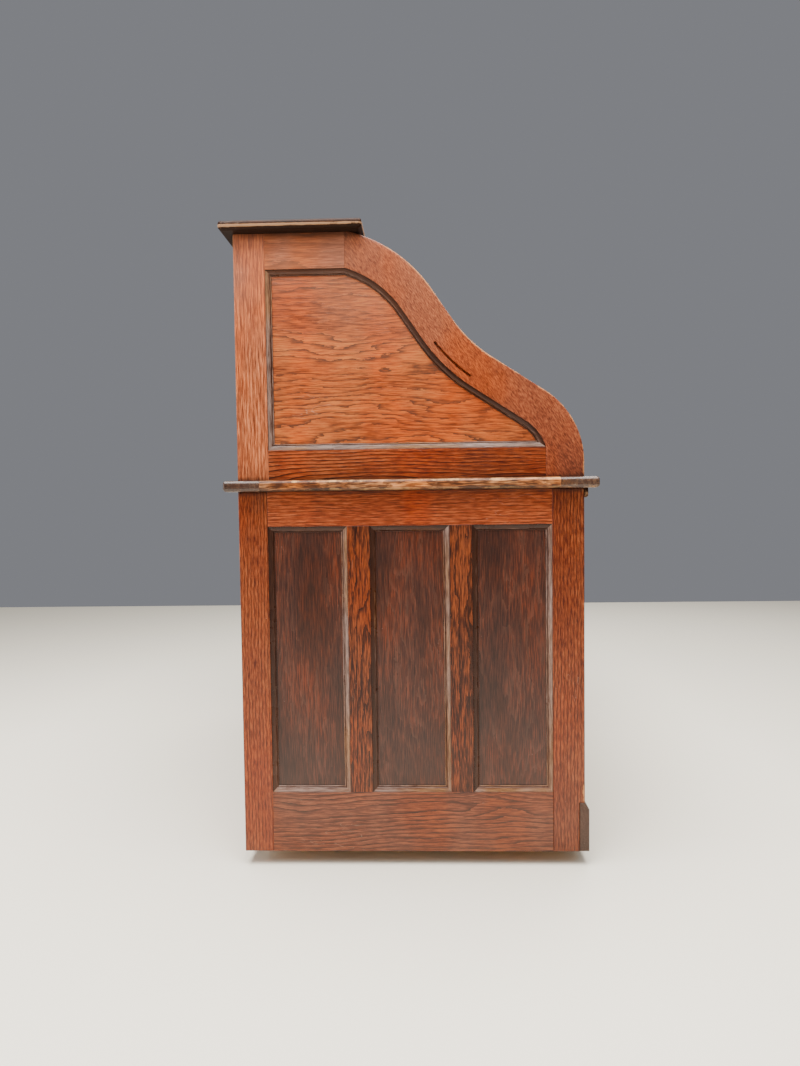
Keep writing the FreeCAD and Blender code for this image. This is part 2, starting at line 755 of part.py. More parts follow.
SLIDE_LOW = SLAB_LOW - S["rail_head"] - S["slide_tall"]
TOP_DRAWER_HIGH = SLIDE_LOW - S["rail_thin"]
TOP_DRAWER_LOW = TOP_DRAWER_HIGH - S["drawer_small"]
MID_DRAWER_HIGH = TOP_DRAWER_LOW - S["rail_thin"]
MID_DRAWER_LOW = MID_DRAWER_HIGH - S["drawer_mid"]
LOW_DRAWER_HIGH = MID_DRAWER_LOW - S["rail_thin"]
LOW_DRAWER_LOW = PLINTH_TOP + S["rail_foot"]
CENTRE_HIGH = SLAB_LOW - S["rail_head"]
CENTRE_LOW = CENTRE_HIGH - S["centre_tall"]

# Name, side, and the z range of the opening of each pedestal drawer.
DRAWERS = [
    ("left_top", -1, TOP_DRAWER_LOW, TOP_DRAWER_HIGH),
    ("left_middle", -1, MID_DRAWER_LOW, MID_DRAWER_HIGH),
    ("left_bottom", -1, LOW_DRAWER_LOW, LOW_DRAWER_HIGH),
    ("right_top", 1, TOP_DRAWER_LOW, TOP_DRAWER_HIGH),
    ("right_file", 1, LOW_DRAWER_LOW, MID_DRAWER_HIGH),
]


def pedestals(notch):
    """Inner sides, backs, bottoms, drawer rails and runners of both pedestals."""
    sides, backs, bottoms, rails, runners = [], [], [], [], []
    back_in = CASE_BACK - S["back_thick"]
    rail_y = (CASE_FRONT, CASE_FRONT + S["rail_deep"])
    runner_y = (rail_y[1], back_in)
    inside = (PEDESTAL_IN, INNER_X)
    for side in (-1, 1):
        tag = "l" if side < 0 else "r"
        sides.append(side_block(
            f"inner_side_{tag}", side,
            (PEDESTAL_X, PEDESTAL_IN), (CASE_FRONT, back_in), (S["floor_gap"], SLAB_LOW)
        ))
        backs.append(side_block(
            f"back_{tag}", side, (PEDESTAL_X, INNER_X), (back_in, CASE_BACK), (S["floor_gap"], SLAB_LOW)
        ))
        bottoms.append(side_block(
            f"bottom_{tag}", side, inside, (PLINTH_BACK, back_in),
            (S["floor_gap"], S["floor_gap"] + S["bottom_thick"]),
        ))
        levels = [("head", CENTRE_HIGH, SLAB_LOW, False), ("slide", TOP_DRAWER_HIGH, SLIDE_LOW, True)]
        for name, where, low, _high in DRAWERS:
            if where == side:
                thick = S["rail_foot"] if low is LOW_DRAWER_LOW else S["rail_thin"]
                levels.append((name, low - thick, low, True))
        for name, low, high, carries in levels:
            rails.append(side_block(f"rail_{name}_{tag}", side, inside, rail_y, (low, high)))
            if carries:
                for spot, x_range in (
                    ("in", (PEDESTAL_IN, PEDESTAL_IN + S["runner_wide"])),
                    ("out", (INNER_X - S["runner_wide"], INNER_X)),
                ):
                    runners.append(side_block(
                        f"runner_{name}_{spot}_{tag}", side, x_range, runner_y, (high - S["rail_thin"], high)
                    ))
        runners.append(side_block(
            f"runner_centre_{tag}", side, (PEDESTAL_X - S["runner_wide"], PEDESTAL_X),
            (CASE_FRONT + S["front_thick"], CASE_FRONT + S["front_thick"] + S["centre_long"]),
            (CENTRE_LOW - S["rail_thin"], CENTRE_LOW),
        ))
    rails.append(block("rail_knee", (-PEDESTAL_X, rail_y[0], CENTRE_HIGH), (PEDESTAL_X, rail_y[1], SLAB_LOW)))
    node(cut("sides_notched", group("sides_whole", sides), notch), "pedestal_inner_sides")
    node(group("pedestal_backs", backs), "pedestal_backs")
    node(group("pedestal_bottoms", bottoms), "pedestal_bottoms")
    node(group("drawer_rails", rails), "drawer_rails")
    node(group("drawer_runners", runners), "drawer_runners")


def plinths():
    """A chamfered plinth across the foot of each pedestal."""
    front = CASE_FRONT - S["plinth_proud"]
    outline = [
        (PLINTH_BACK, S["floor_gap"]), (front, S["floor_gap"]), (front, PLINTH_TOP - S["plinth_slope"]),
        (CASE_FRONT, PLINTH_TOP), (PLINTH_BACK, PLINTH_TOP),
    ]
    items = []
    for side in (-1, 1):
        items.append(prism(f"plinth_{'l' if side < 0 else 'r'}", outline, *sided(side, PEDESTAL_X, CASE_X)))
    node(group("front_plinths", items), "front_plinths")


def bead():
    """The rounded bead under the front of the writing top."""
    low = SLAB_LOW - S["bead_tall"]
    front = CASE_FRONT - S["bead_proud"]
    outline = [(CASE_FRONT, low), (front, low), (front, SLAB_LOW), (CASE_FRONT, SLAB_LOW)]
    body = prism("front_bead", outline, -CASE_X, CASE_X)
    round_edges(
        body, S["bead_proud"] * 0.5,
        lambda middle, direction: abs(direction.x) > 0.9 and same(middle.y, front) and same(middle.z, low),
    )
    node(body, "front_bead")


def modesty():
    """The board that closes the kneehole at the back."""
    back = CASE_BACK - S["modesty_in"]
    node(block(
        "modesty_panel", (-PEDESTAL_X, back - S["modesty_thick"], SLAB_LOW - S["modesty_tall"]),
        (PEDESTAL_X, back, SLAB_LOW),
    ), "modesty_panel")


def feet():
    """Square set-back blocks under the case, each with a steel glide."""
    blocks, glides = [], []
    half = S["foot_wide"] / 2
    in_y = (CASE_FRONT + S["foot_in"] + half, CASE_BACK - S["foot_in"] - half)
    in_x = (CASE_X - S["foot_in"] - half, PEDESTAL_X + S["foot_in"] + half)
    for side in (-1, 1):
        for column, x in enumerate(in_x):
            for row, y in enumerate(in_y):
                name = f"{'l' if side < 0 else 'r'}{column}{row}"
                blocks.append(side_block(
                    f"foot_{name}", side, (x - half, x + half), (y - half, y + half),
                    (S["glide_thick"], S["floor_gap"]),
                ))
                spot = (dim(x) * side, y, dim(0))
                glides.append(cylinder(f"glide_{name}", S["glide_round"], S["glide_thick"], spot, False))
    node(group("foot_blocks", blocks), "foot_blocks")
    node(group("steel_glides", glides), "steel_glides")


# ---- tops -------------------------------------------------------------------------------------

HALF_WIDE = S["desk_wide"] / 2
HALF_DEEP = S["desk_deep"] / 2


def nosed(edges_at):
    """Tells the upper and lower edges that lie on the given x or y planes."""
    def wanted(middle, direction):
        if abs(direction.z) > 0.5:
            return False
        return any(same(getattr(middle, axis), place) for axis, place in edges_at)
    return wanted


def writing_top():
    """Framed writing top: a rail along each long edge, a cleat at each end, a field between."""
    z_range = (SLAB_LOW, S["writing_tall"])
    x_range = (-HALF_WIDE, HALF_WIDE)
    front_in = S["edge_front"] - HALF_DEEP
    back_in = HALF_DEEP - S["edge_back"]
    plate_hole = strike_pocket()
    ends = [("x", -HALF_WIDE), ("x", HALF_WIDE)]
    front = slab("top_front_rail", x_range, (-HALF_DEEP, front_in), z_range)
    round_edges(front, S["nose_round"], nosed([*ends, ("y", -HALF_DEEP)]))
    back = slab("top_back_rail", x_range, (back_in, HALF_DEEP), z_range)
    round_edges(back, S["nose_round"], nosed([*ends, ("y", HALF_DEEP)]))
    node(group("top_rails", [cut("top_front_cut", front, plate_hole), back]), "writing_top_rails")
    cleats = []
    for side in (-1, 1):
        x_pair = sided(side, HALF_WIDE - S["cross_wide"], HALF_WIDE)
        cleat = slab(f"cleat_{'l' if side < 0 else 'r'}", x_pair, (front_in, back_in), z_range)
        round_edges(cleat, S["nose_round"], nosed([("x", HALF_WIDE * side)]))
        cleats.append(cleat)
    node(group("cleats", cleats), "writing_top_cleats")
    inside = HALF_WIDE - S["cross_wide"]
    node(block(
        "writing_top_field", (-inside, front_in, SLAB_LOW), (inside, back_in, S["writing_tall"])
    ), "writing_top_field")


def crest():
    """The top board with all its edges rounded."""
    front = dim(CURVE_END) - S["crest_over"]
    body = slab("top_board", (-HALF_WIDE, HALF_WIDE), (front, HALF_DEEP), (BOARD_LOW, S["desk_tall"]))
    edges_at = [("x", -HALF_WIDE), ("x", HALF_WIDE), ("y", front), ("y", HALF_DEEP)]
    round_edges(body, S["nose_round"], nosed(edges_at))
    node(body, "top_board")


# ---- upper back -------------------------------------------------------------------------------

def upper_back():
    """The framed and panelled back between the upper ends."""
    front = CASE_BACK - S["back_frame"]
    y_range = (front, CASE_BACK)
    rail = S["back_rail"]
    low, high = S["writing_tall"] + rail, BOARD_LOW - rail
    bay = (INNER_X * 2 - rail * (BACK_PANELS + 1)) / BACK_PANELS
    frame = [
        block("back_rail_low", (-INNER_X, front, S["writing_tall"]), (INNER_X, CASE_BACK, low)),
        block("back_rail_top", (-INNER_X, front, high), (INNER_X, CASE_BACK, BOARD_LOW)),
    ]
    panels, pockets = [], []
    middle = (front + CASE_BACK) / 2
    for index in range(BACK_PANELS + 1):
        x = -INNER_X + (bay + rail) * index
        frame.append(block(f"back_stile_{index}", (x, y_range[0], low), (x + rail, y_range[1], high)))
        if index == BACK_PANELS:
            continue
        for items, grow, name in ((panels, dim(0), "back_panel"), (pockets, S["fit_gap"], "back_pocket")):
            reach = S["panel_tongue"] + grow
            half = S["panel_thick"] / 2 + grow
            items.append(block(
                f"{name}_{index}", (x + rail - reach, middle - half, low - reach),
                (x + rail + bay + reach, middle + half, high + reach),
            ))
    whole = group("back_frame_whole", frame)
    node(cut("back_frame_cut", whole, group("back_pockets", pockets)), "upper_back_frame")
    node(group("upper_back_panels", panels), "upper_back_panels")


# ---- gallery of pigeonholes -------------------------------------------------------------------

GALLERY_X = INNER_X - S["gallery_in"]
GALLERY_FRONT = S["gallery_front"]
GALLERY_BACK = CASE_BACK - S["gallery_back"]
GALLERY_HIGH = BOARD_LOW - S["gallery_low"]
GALLERY_FLOOR = S["writing_tall"] + S["ply_thick"]
NOOK_HIGH = GALLERY_FLOOR + S["nook_tall"]
BAY_WIDE = (GALLERY_X * 2 - S["ply_thick"] * 2 - S["ply_thin"] * (GALLERY_BAYS - 1)) / GALLERY_BAYS
HOLE_TALL = (GALLERY_HIGH - S["ply_thick"] * 3 - NOOK_HIGH) / 2


def bay_start(index):
    """The left face of a bay, counted from the left."""
    return -GALLERY_X + S["ply_thick"] + (BAY_WIDE + S["ply_thin"]) * index


def gallery():
    """The pigeonhole case: floor, top, ends, two shelves and a thin back, with its dividers."""
    back_in = GALLERY_BACK - S["ply_thin"]
    inside = GALLERY_X - S["ply_thick"]
    shelf = NOOK_HIGH + S["ply_thick"] + HOLE_TALL
    boards = [
        block(
            "gallery_back", (-GALLERY_X, back_in, S["writing_tall"]), (GALLERY_X, GALLERY_BACK, GALLERY_HIGH)
        )
    ]
    levels = {
        "floor": (S["writing_tall"], GALLERY_FLOOR), "low_shelf": (NOOK_HIGH, NOOK_HIGH + S["ply_thick"]),
        "high_shelf": (shelf, shelf + S["ply_thick"]), "top": (GALLERY_HIGH - S["ply_thick"], GALLERY_HIGH),
    }
    for name, (low, high) in levels.items():
        boards.append(block(f"gallery_{name}", (-inside, GALLERY_FRONT, low), (inside, back_in, high)))
    for side in (-1, 1):
        boards.append(side_block(
            f"gallery_end_{'l' if side < 0 else 'r'}", side, (inside, GALLERY_X), (GALLERY_FRONT, back_in),
            (S["writing_tall"], GALLERY_HIGH),
        ))
    node(group("gallery_case", boards), "gallery_case")
    dividers = []
    rows = {
        "nook": (GALLERY_FLOOR, NOOK_HIGH, (0, 2, 4)),
        "low": (NOOK_HIGH + S["ply_thick"], shelf, range(GALLERY_BAYS - 1)),
        "high": (shelf + S["ply_thick"], GALLERY_HIGH - S["ply_thick"], range(GALLERY_BAYS - 1)),
    }
    for row, (low, high, places) in rows.items():
        for index in places:
            x = bay_start(index) + BAY_WIDE
            dividers.append(block(
                f"divider_{row}_{index}", (x, GALLERY_FRONT, low), (x + S["ply_thin"], back_in, high)
            ))
    node(group("gallery_dividers", dividers), "gallery_dividers")


# ---- drawers and writing slides ---------------------------------------------------------------

def pull(name, x, z, face):
    """A wooden pull with a finger hollow under its lip, its back on a drawer front."""
    half = S["pull_tall"] / 2
    out = face - S["pull_proud"]
    outline = [
        (face, z + half), (face - S["pull_proud"] * 0.7, z + half * 0.7), (out, z), (out, z - half * 0.8),
        (face - S["pull_proud"] * 0.6, z - half * 0.8), (face - S["pull_proud"] * 0.45, z - half * 0.1),
        (face, z),
    ]
    width = S["pull_wide"] / 2
    return prism(name, outline, x - width, x + width)


def knob(name, x, z, face):
    """A small turned knob."""
    return cylinder(name, S["knob_round"], S["knob_proud"], (x, face - S["knob_proud"], z))


def drawer_box(name, x_range, y_range, z_range):
    """Two sides, a back and a bottom behind a drawer front."""
    wall = S["wall_thick"]
    (x0, x1), (y0, y1), (z0, z1) = x_range, y_range, z_range
    floor = z0 + S["floor_thick"]
    return group(name, [
        block(f"{name}_left", (x0, y0, z0), (x0 + wall, y1, z1)),
        block(f"{name}_right", (x1 - wall, y0, z0), (x1, y1, z1)),
        block(f"{name}_back", (x0 + wall, y1 - wall, z0), (x1 - wall, y1, z1)),
        block(f"{name}_bottom", (x0 + wall, y0, z0), (x1 - wall, y1 - wall, floor)),
    ])


def drawer(name, x_range, opening, long, pulls):
    """A drawer front with its pulls as one node, and the box behind it as another."""
    gap = S["run_gap"]
    low, high = opening
    x0, x1 = x_range[0] + gap, x_range[1] - gap
    face_back = CASE_FRONT + S["front_thick"]
    front = block(f"{name}_board", (x0, CASE_FRONT, low + gap), (x1, face_back, high - gap))
    items = [front]
    for index, (x, z) in enumerate(pulls):
        items.append(pull(f"{name}_pull_{index}", x, z, CASE_FRONT))
    node(group(f"{name}_front", items), f"drawer_front_{name}")
    box = drawer_box(
        f"{name}_box", (x0, x1), (face_back, face_back + long),
        (low + S["fit_gap"], high - S["box_drop"]),
    )
    node(box, f"drawer_box_{name}")


def drawers():
    """Five pedestal drawers and the centre drawer over the kneehole."""
    for name, side, low, high in DRAWERS:
        x_range = sided(side, PEDESTAL_IN, INNER_X)
        middle = (x_range[0] + x_range[1]) / 2
        pull_z = (low + high) / 2
        if name == "right_file":
            pull_z = high - S["drawer_mid"] / 2
        drawer(name, x_range, (low, high), S["drawer_long"], [(middle, pull_z)])
    knee = S["pedestal_wide"] / 2
    centre_z = (CENTRE_LOW + CENTRE_HIGH) / 2
    drawer(
        "centre", (-PEDESTAL_X, PEDESTAL_X), (CENTRE_LOW, CENTRE_HIGH), S["centre_long"],
        [(-knee, centre_z), (knee, centre_z)],
    )


def writing_slides():
    """A board that pulls out above each pedestal's drawers, with a knob."""
    low = SLIDE_LOW + S["fit_gap"]
    for side, name in ((-1, "left"), (1, "right")):
        x_range = sided(side, PEDESTAL_IN + S["run_gap"], INNER_X - S["run_gap"])
        board = block(
            f"{name}_slide_board", (x_range[0], CASE_FRONT, low),
            (x_range[1], CASE_FRONT + S["slide_long"], low + S["slide_thick"]),
        )
        handle = knob(
            f"{name}_slide_knob", (x_range[0] + x_range[1]) / 2, low + S["slide_thick"] / 2, CASE_FRONT
        )
        node(group(f"{name}_slide", [board, handle]), f"writing_slide_{name}")


def gallery_drawers():
    """A small drawer in the bottom corner of the gallery at each end."""
    gap = S["run_gap"] / 2
    back = GALLERY_BACK - S["ply_thin"]
    for name, index in (("left", 0), ("right", GALLERY_BAYS - 1)):
        x0, x1 = bay_start(index) + gap, bay_start(index) + BAY_WIDE - gap
        z0, z1 = GALLERY_FLOOR + S["fit_gap"], NOOK_HIGH - gap
        face = GALLERY_FRONT + S["ply_thin"]
        front = block(f"{name}_nook_front", (x0, GALLERY_FRONT, z0), (x1, face, z1))
        box = drawer_box(f"{name}_nook_box", (x0, x1), (face, back - S["run_gap"]), (z0, z1 - S["run_gap"]))
        handle = knob(f"{name}_nook_knob", (x0 + x1) / 2, (z0 + z1) / 2, GALLERY_FRONT)
        node(group(f"{name}_nook", [front, handle, *box.Links]), f"gallery_drawer_{name}")


# ---- lift rail and its lock -------------------------------------------------------------------

LIFT_LOW = S["writing_tall"] + S["lift_gap"]
LIFT_HIGH = LIFT_LOW + S["lift_tall"]
LIFT_FRONT = TRACK_Y - S["lift_face"]
LIFT_REAR = TRACK_Y + S["lift_back"]
LOCK_LOW = LIFT_LOW + 1
LOCK_Y = LIFT_REAR + S["lock_thick"] / 2
BARREL_Z = LOCK_LOW + S["lock_tall"] / 2


def lift_rail():
    """The heavy bottom rail of the tambour, its tongues and its two handles."""
    bevel = S["lift_face"] / 3
    outline = [
        (LIFT_REAR, LIFT_LOW), (LIFT_FRONT, LIFT_LOW), (LIFT_FRONT, LIFT_HIGH - bevel),
        (LIFT_FRONT + bevel, LIFT_HIGH), (LIFT_REAR, LIFT_HIGH),
    ]
    rail = prism("lift_rail_whole", outline, -LIFT_X, LIFT_X)
    bore = cylinder(
        "barrel_bore", S["barrel_round"] + S["fit_gap"], LIFT_REAR - LIFT_FRONT + 2,
        (dim(0), LIFT_FRONT - 1, BARREL_Z),
    )
    node(cut("lift_rail_bored", rail, bore), "lift_rail")
    tongues, grips = [], []
    half = S["tongue_thick"] / 2
    for side in (-1, 1):
        tag = "l" if side < 0 else "r"
        tongues.append(side_block(
            f"rail_tongue_{tag}", side, (LIFT_X, INNER_X + S["tongue_long"] - S["side_gap"]),
            (TRACK_Y - half, TRACK_Y + half), (LIFT_LOW, LIFT_LOW + S["lift_tall"] / 2),
        ))
        out = LIFT_FRONT - S["grip_proud"]
        low = LIFT_LOW + 8
        outline = [
            (LIFT_FRONT, low + 20), (out + 6, low + 18), (out, low + 12), (out, low + 2), (out + 8, low),
            (out + 11, low + 9), (LIFT_FRONT, low + 11),
        ]
        centre = S["grip_apart"] / 2 * side
        grips.append(prism(f"grip_{tag}", outline, centre - S["grip_wide"] / 2, centre + S["grip_wide"] / 2))
    node(group("rail_tongues", tongues), "lift_rail_tongues")
    node(group("grips", grips), "lift_rail_handles")


def roll_lock():
    """The lock on the back of the lift rail: case, barrel and round escutcheon, with its bolt."""
    half = S["lock_wide"] / 2
    case = block(
        "lock_case", (-half, LIFT_REAR, LOCK_LOW),
        (half, LIFT_REAR + S["lock_thick"], LOCK_LOW + S["lock_tall"])
    )
    gap = S["fit_gap"]
    bolt_half = S["bolt_wide"] / 2
    bolt_y = S["bolt_thick"] / 2
    bolt_high = LOCK_LOW + S["bolt_tall"]
    room = block(
        "bolt_room", (-bolt_half - gap, LOCK_Y - bolt_y - gap, LOCK_LOW - 1),
        (bolt_half + gap, LOCK_Y + bolt_y + gap, bolt_high + gap),
    )
    barrel = cylinder(
        "lock_barrel", S["barrel_round"], LIFT_REAR - LIFT_FRONT, (dim(0), LIFT_FRONT, BARREL_Z)
    )
    escutcheon = cylinder(
        "escutcheon", S["barrel_round"] * 1.8, dim(2), (dim(0), LIFT_FRONT - 2, BARREL_Z)
    )
    body = fuse("lock_whole", cut("lock_hollow", case, room), barrel, escutcheon)
    node(body, "roll_lock")
    node(block(
        "lock_bolt", (-bolt_half, LOCK_Y - bolt_y, LOCK_LOW), (bolt_half, LOCK_Y + bolt_y, bolt_high)
    ), "lock_bolt")


def strike_pocket():
    """The strike plate let into the writing top, and the pocket that is cut for it and the bolt."""
    half_x = S["bolt_wide"] / 2 + 8
    half_y = S["bolt_thick"] / 2 + 5
    plate_low = S["writing_tall"] - 2
    plate = block(
        "strike_blank", (-half_x, LOCK_Y - half_y, plate_low), (half_x, LOCK_Y + half_y, S["writing_tall"])
    )
    hole_x = S["bolt_wide"] / 2 + 1
    hole_y = S["bolt_thick"] / 2 + 1
    hole = block(
        "strike_hole", (-hole_x, LOCK_Y - hole_y, S["writing_tall"] - 12),
        (hole_x, LOCK_Y + hole_y, S["writing_tall"] + 1),
    )
    node(cut("strike_cut", plate, hole), "roll_strike_plate")
    recess = block(
        "strike_recess", (-half_x, LOCK_Y - half_y, plate_low),
        (half_x, LOCK_Y + half_y, S["writing_tall"] + 1)
    )
    return fuse("strike_pocket", recess, hole)


# ---- tambour ----------------------------------------------------------------------------------

FIRST_SLAT = S["lift_gap"].value + S["lift_tall"].value + S["slat_split"].value


def slat_outline(wide, crown, edge, back):
    """A slat's end: a flat back and short sides under a crowned face."""
    half = wide / 2
    left, right = Vector(0, -half, edge), Vector(0, half, edge)
    top = Vector(0, 0, crown)
    edges = [
        Part.Arc(left, top, right).toShape(),
        Part.makeLine(right, Vector(0, half, -back)),
        Part.makeLine(Vector(0, half, -back), Vector(0, -half, -back)),
        Part.makeLine(Vector(0, -half, -back), left),
    ]
    return wire_face(edges)


def slat(along):
    """One slat across the desk, with a tongue at each end in the track."""
    wide = S["slat_pitch"].value - S["slat_split"].value
    half_x = INNER_X.value - S["side_gap"].value
    outline = slat_outline(wide, S["slat_crown"].value, S["slat_edge"].value, S["slat_back"].value)
    solid = extrude_x(outline, -half_x, half_x)
    thick = S["tongue_thick"].value
    reach = INNER_X.value - S["side_gap"].value + S["tongue_long"].value
    solid = solid.fuse(Part.makeBox(reach * 2, wide, thick, Vector(-reach, -wide / 2, -thick / 2)))
    (y, z), heading = TRACK.at(along)
    solid.rotate(Vector(0, 0, 0), Vector(1, 0, 0), heading)
    solid.translate(Vector(0, y, z))
    return solid


def tambour():
    """The slats, in groups that each share a piece of canvas."""
    pitch = S["slat_pitch"].value
    begin = FIRST_SLAT
    canvas_x = INNER_X.value - S["canvas_in"].value
    canvas_top = S["slat_back"].value + S["fit_gap"].value
    canvas_low = canvas_top + S["canvas_thick"].value
    for number, count in enumerate(SLAT_GROUPS, start=1):
        solids = [slat(begin + pitch * (index + 0.5)) for index in range(count)]
        end = begin + pitch * count
        solids.append(band(TRACK, begin + 1, end - 1, canvas_low, -canvas_top, -canvas_x, canvas_x))
        name = f"tambour_slats_{number:02d}"
        node(coded(name, Part.makeCompound(solids)), name)
        begin = end


# ---- build ------------------------------------------------------------------------------------

def check_document():
    """Stops if any object failed or any sub-part is missing or not valid."""
    for item in DOC.Objects:
        if {"Invalid", "Error"} & set(item.State):
            raise RuntimeError(f"{item.Name} failed: {item.State}")
    for item in NODES:
        if item.Shape.isNull() or not item.Shape.isValid() or not item.Shape.Solids:
            raise RuntimeError(f"{item.Label} has no valid solid")


def main():
    notch = lower_ends()
    upper_ends()
    mouldings()
    pedestals(notch)
    plinths()
    bead()
    modesty()
    feet()
    writing_top()
    crest()
    upper_back()
    gallery()
    drawers()
    writing_slides()
    gallery_drawers()
    lift_rail()
    roll_lock()
    tambour()
    DOC.recompute()
    check_document()
    os.makedirs("parts", exist_ok=True)
    for item in NODES:
        item.Shape.exportStep(f"parts/{item.Label}.step")
        print(f"{item.Label}: {len(item.Shape.Solids)} solids")
    print(f"{len(NODES)} sub-parts; track {TRACK.length:.1f} mm, curve {CURVE_LENGTH:.1f} mm")


main()
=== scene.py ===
import math
import bpy
import numpy as np
from mathutils import Matrix, Vector


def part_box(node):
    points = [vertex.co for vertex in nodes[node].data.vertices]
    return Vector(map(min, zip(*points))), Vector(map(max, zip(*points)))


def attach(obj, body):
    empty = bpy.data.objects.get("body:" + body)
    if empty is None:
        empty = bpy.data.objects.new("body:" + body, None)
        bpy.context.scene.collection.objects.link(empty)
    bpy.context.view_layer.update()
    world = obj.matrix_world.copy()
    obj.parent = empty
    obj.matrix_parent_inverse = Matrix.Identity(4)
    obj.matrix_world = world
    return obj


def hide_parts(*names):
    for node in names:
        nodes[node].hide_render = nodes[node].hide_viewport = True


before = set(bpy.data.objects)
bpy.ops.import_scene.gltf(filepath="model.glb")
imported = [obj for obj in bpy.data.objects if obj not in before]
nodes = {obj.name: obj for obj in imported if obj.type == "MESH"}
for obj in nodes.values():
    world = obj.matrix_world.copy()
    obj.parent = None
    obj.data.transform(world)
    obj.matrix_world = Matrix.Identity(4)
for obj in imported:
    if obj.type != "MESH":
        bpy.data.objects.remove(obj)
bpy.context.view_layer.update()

# the same grain and wear on every run
rng = np.random.default_rng(1907)


# The two corners of a node's box in the frame, as arrays.
def boxOf(node):
    low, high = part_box(node)
    return np.array(low), np.array(high)


# Volume inside a closed part, negative when its faces look inwards: the sum over its triangles of
# a . (b x c) / 6.
def enclosedVolume(part):
    quads = np.asarray(part["quads"])
    tris = [quads[:, [0, 1, 2]], quads[:, [0, 2, 3]]]
    for cap in part.get("caps", ()):
        cap = np.asarray(cap)
        tris.append(np.stack([np.full(len(cap) - 2, cap[0]), cap[1:-1], cap[2:]], 1))
    a, b, c = np.moveaxis(part["verts"][np.concatenate(tris)] - part["verts"].mean(0), 1, 0)
    return float((a * np.cross(b, c)).sum() / 6)


# Joins parts, each a dict of vertices, quads and point values, into one object that rides on a body. A part
# whose faces look inwards is turned the right way out.
def meshObject(name, parts, material, body="root", replaced=()):
    verts, quads, caps, values = [], [], [], {"grainPlace": [], "worn": [], "tone": [], "grime": []}
    normals, start = [], 0
    for part in parts:
        v = part["verts"]
        turned = -1 if enclosedVolume(part) < 0 else 1
        verts.append(v)
        quads.append(part["quads"][:, ::turned] + start)
        caps.extend((np.asarray(c)[::turned] + start).tolist() for c in part.get("caps", ()))
        count = len(v)
        for key in values:
            values[key].append(part[key] if key in part else np.zeros(count))
        normals.append(part["normals"] if "normals" in part else np.zeros((count, 3)))
        start += count
    allVerts, allQuads = np.concatenate(verts), np.concatenate(quads)
    mesh = bpy.data.meshes.new(name)
    mesh.from_pydata(allVerts.tolist(), [], allQuads.tolist() + caps)
    for key, rows in values.items():
        data = np.concatenate(rows)
        kind = "FLOAT_VECTOR" if key == "grainPlace" else "FLOAT"
        layer = mesh.attributes.new(key, kind, "POINT")
        layer.data.foreach_set("vector" if key == "grainPlace" else "value",
                               data.astype(np.float32).ravel())
    mesh.validate()
    mesh.shade_smooth()
    allNormals = np.concatenate(normals)
    if len(mesh.vertices) == len(allNormals) and np.all(np.linalg.norm(allNormals, axis=1) > 0.5):
        mesh.normals_split_custom_set_from_vertices(allNormals.tolist())
    else:
        mesh.set_sharp_from_angle(angle=math.radians(34))
    mesh.materials.append(material)
    piece = bpy.data.objects.new(name, mesh)
    bpy.context.scene.collection.objects.link(piece)
    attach(piece, body)
    if replaced:
        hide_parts(*replaced)
    return piece


# Quads of a grid of rows by cols points, where point (row, column) is number row * cols + column and the
# last column joins the first.
def gridQuads(rows, cols):
    r = np.arange(rows - 1)[:, None]
    c = np.arange(cols)[None, :]
    n = (c + 1) % cols
    return np.stack([r * cols + c, r * cols + n, (r + 1) * cols + n, (r + 1) * cols + c], -1).reshape(-1, 4)


# Place in the wood: metres along the grain, across the board and into it, which are the products of a point
# with the three directions, shifted for each board.
def grainOf(verts, along, width, depth):
    shift = rng.uniform(0, 9, 3)
    axes = np.array([along, width, depth], float)
    sideways = rng.uniform(-0.03, 0.03)
    return verts @ axes.T + np.array([shift[0], sideways, shift[2]])


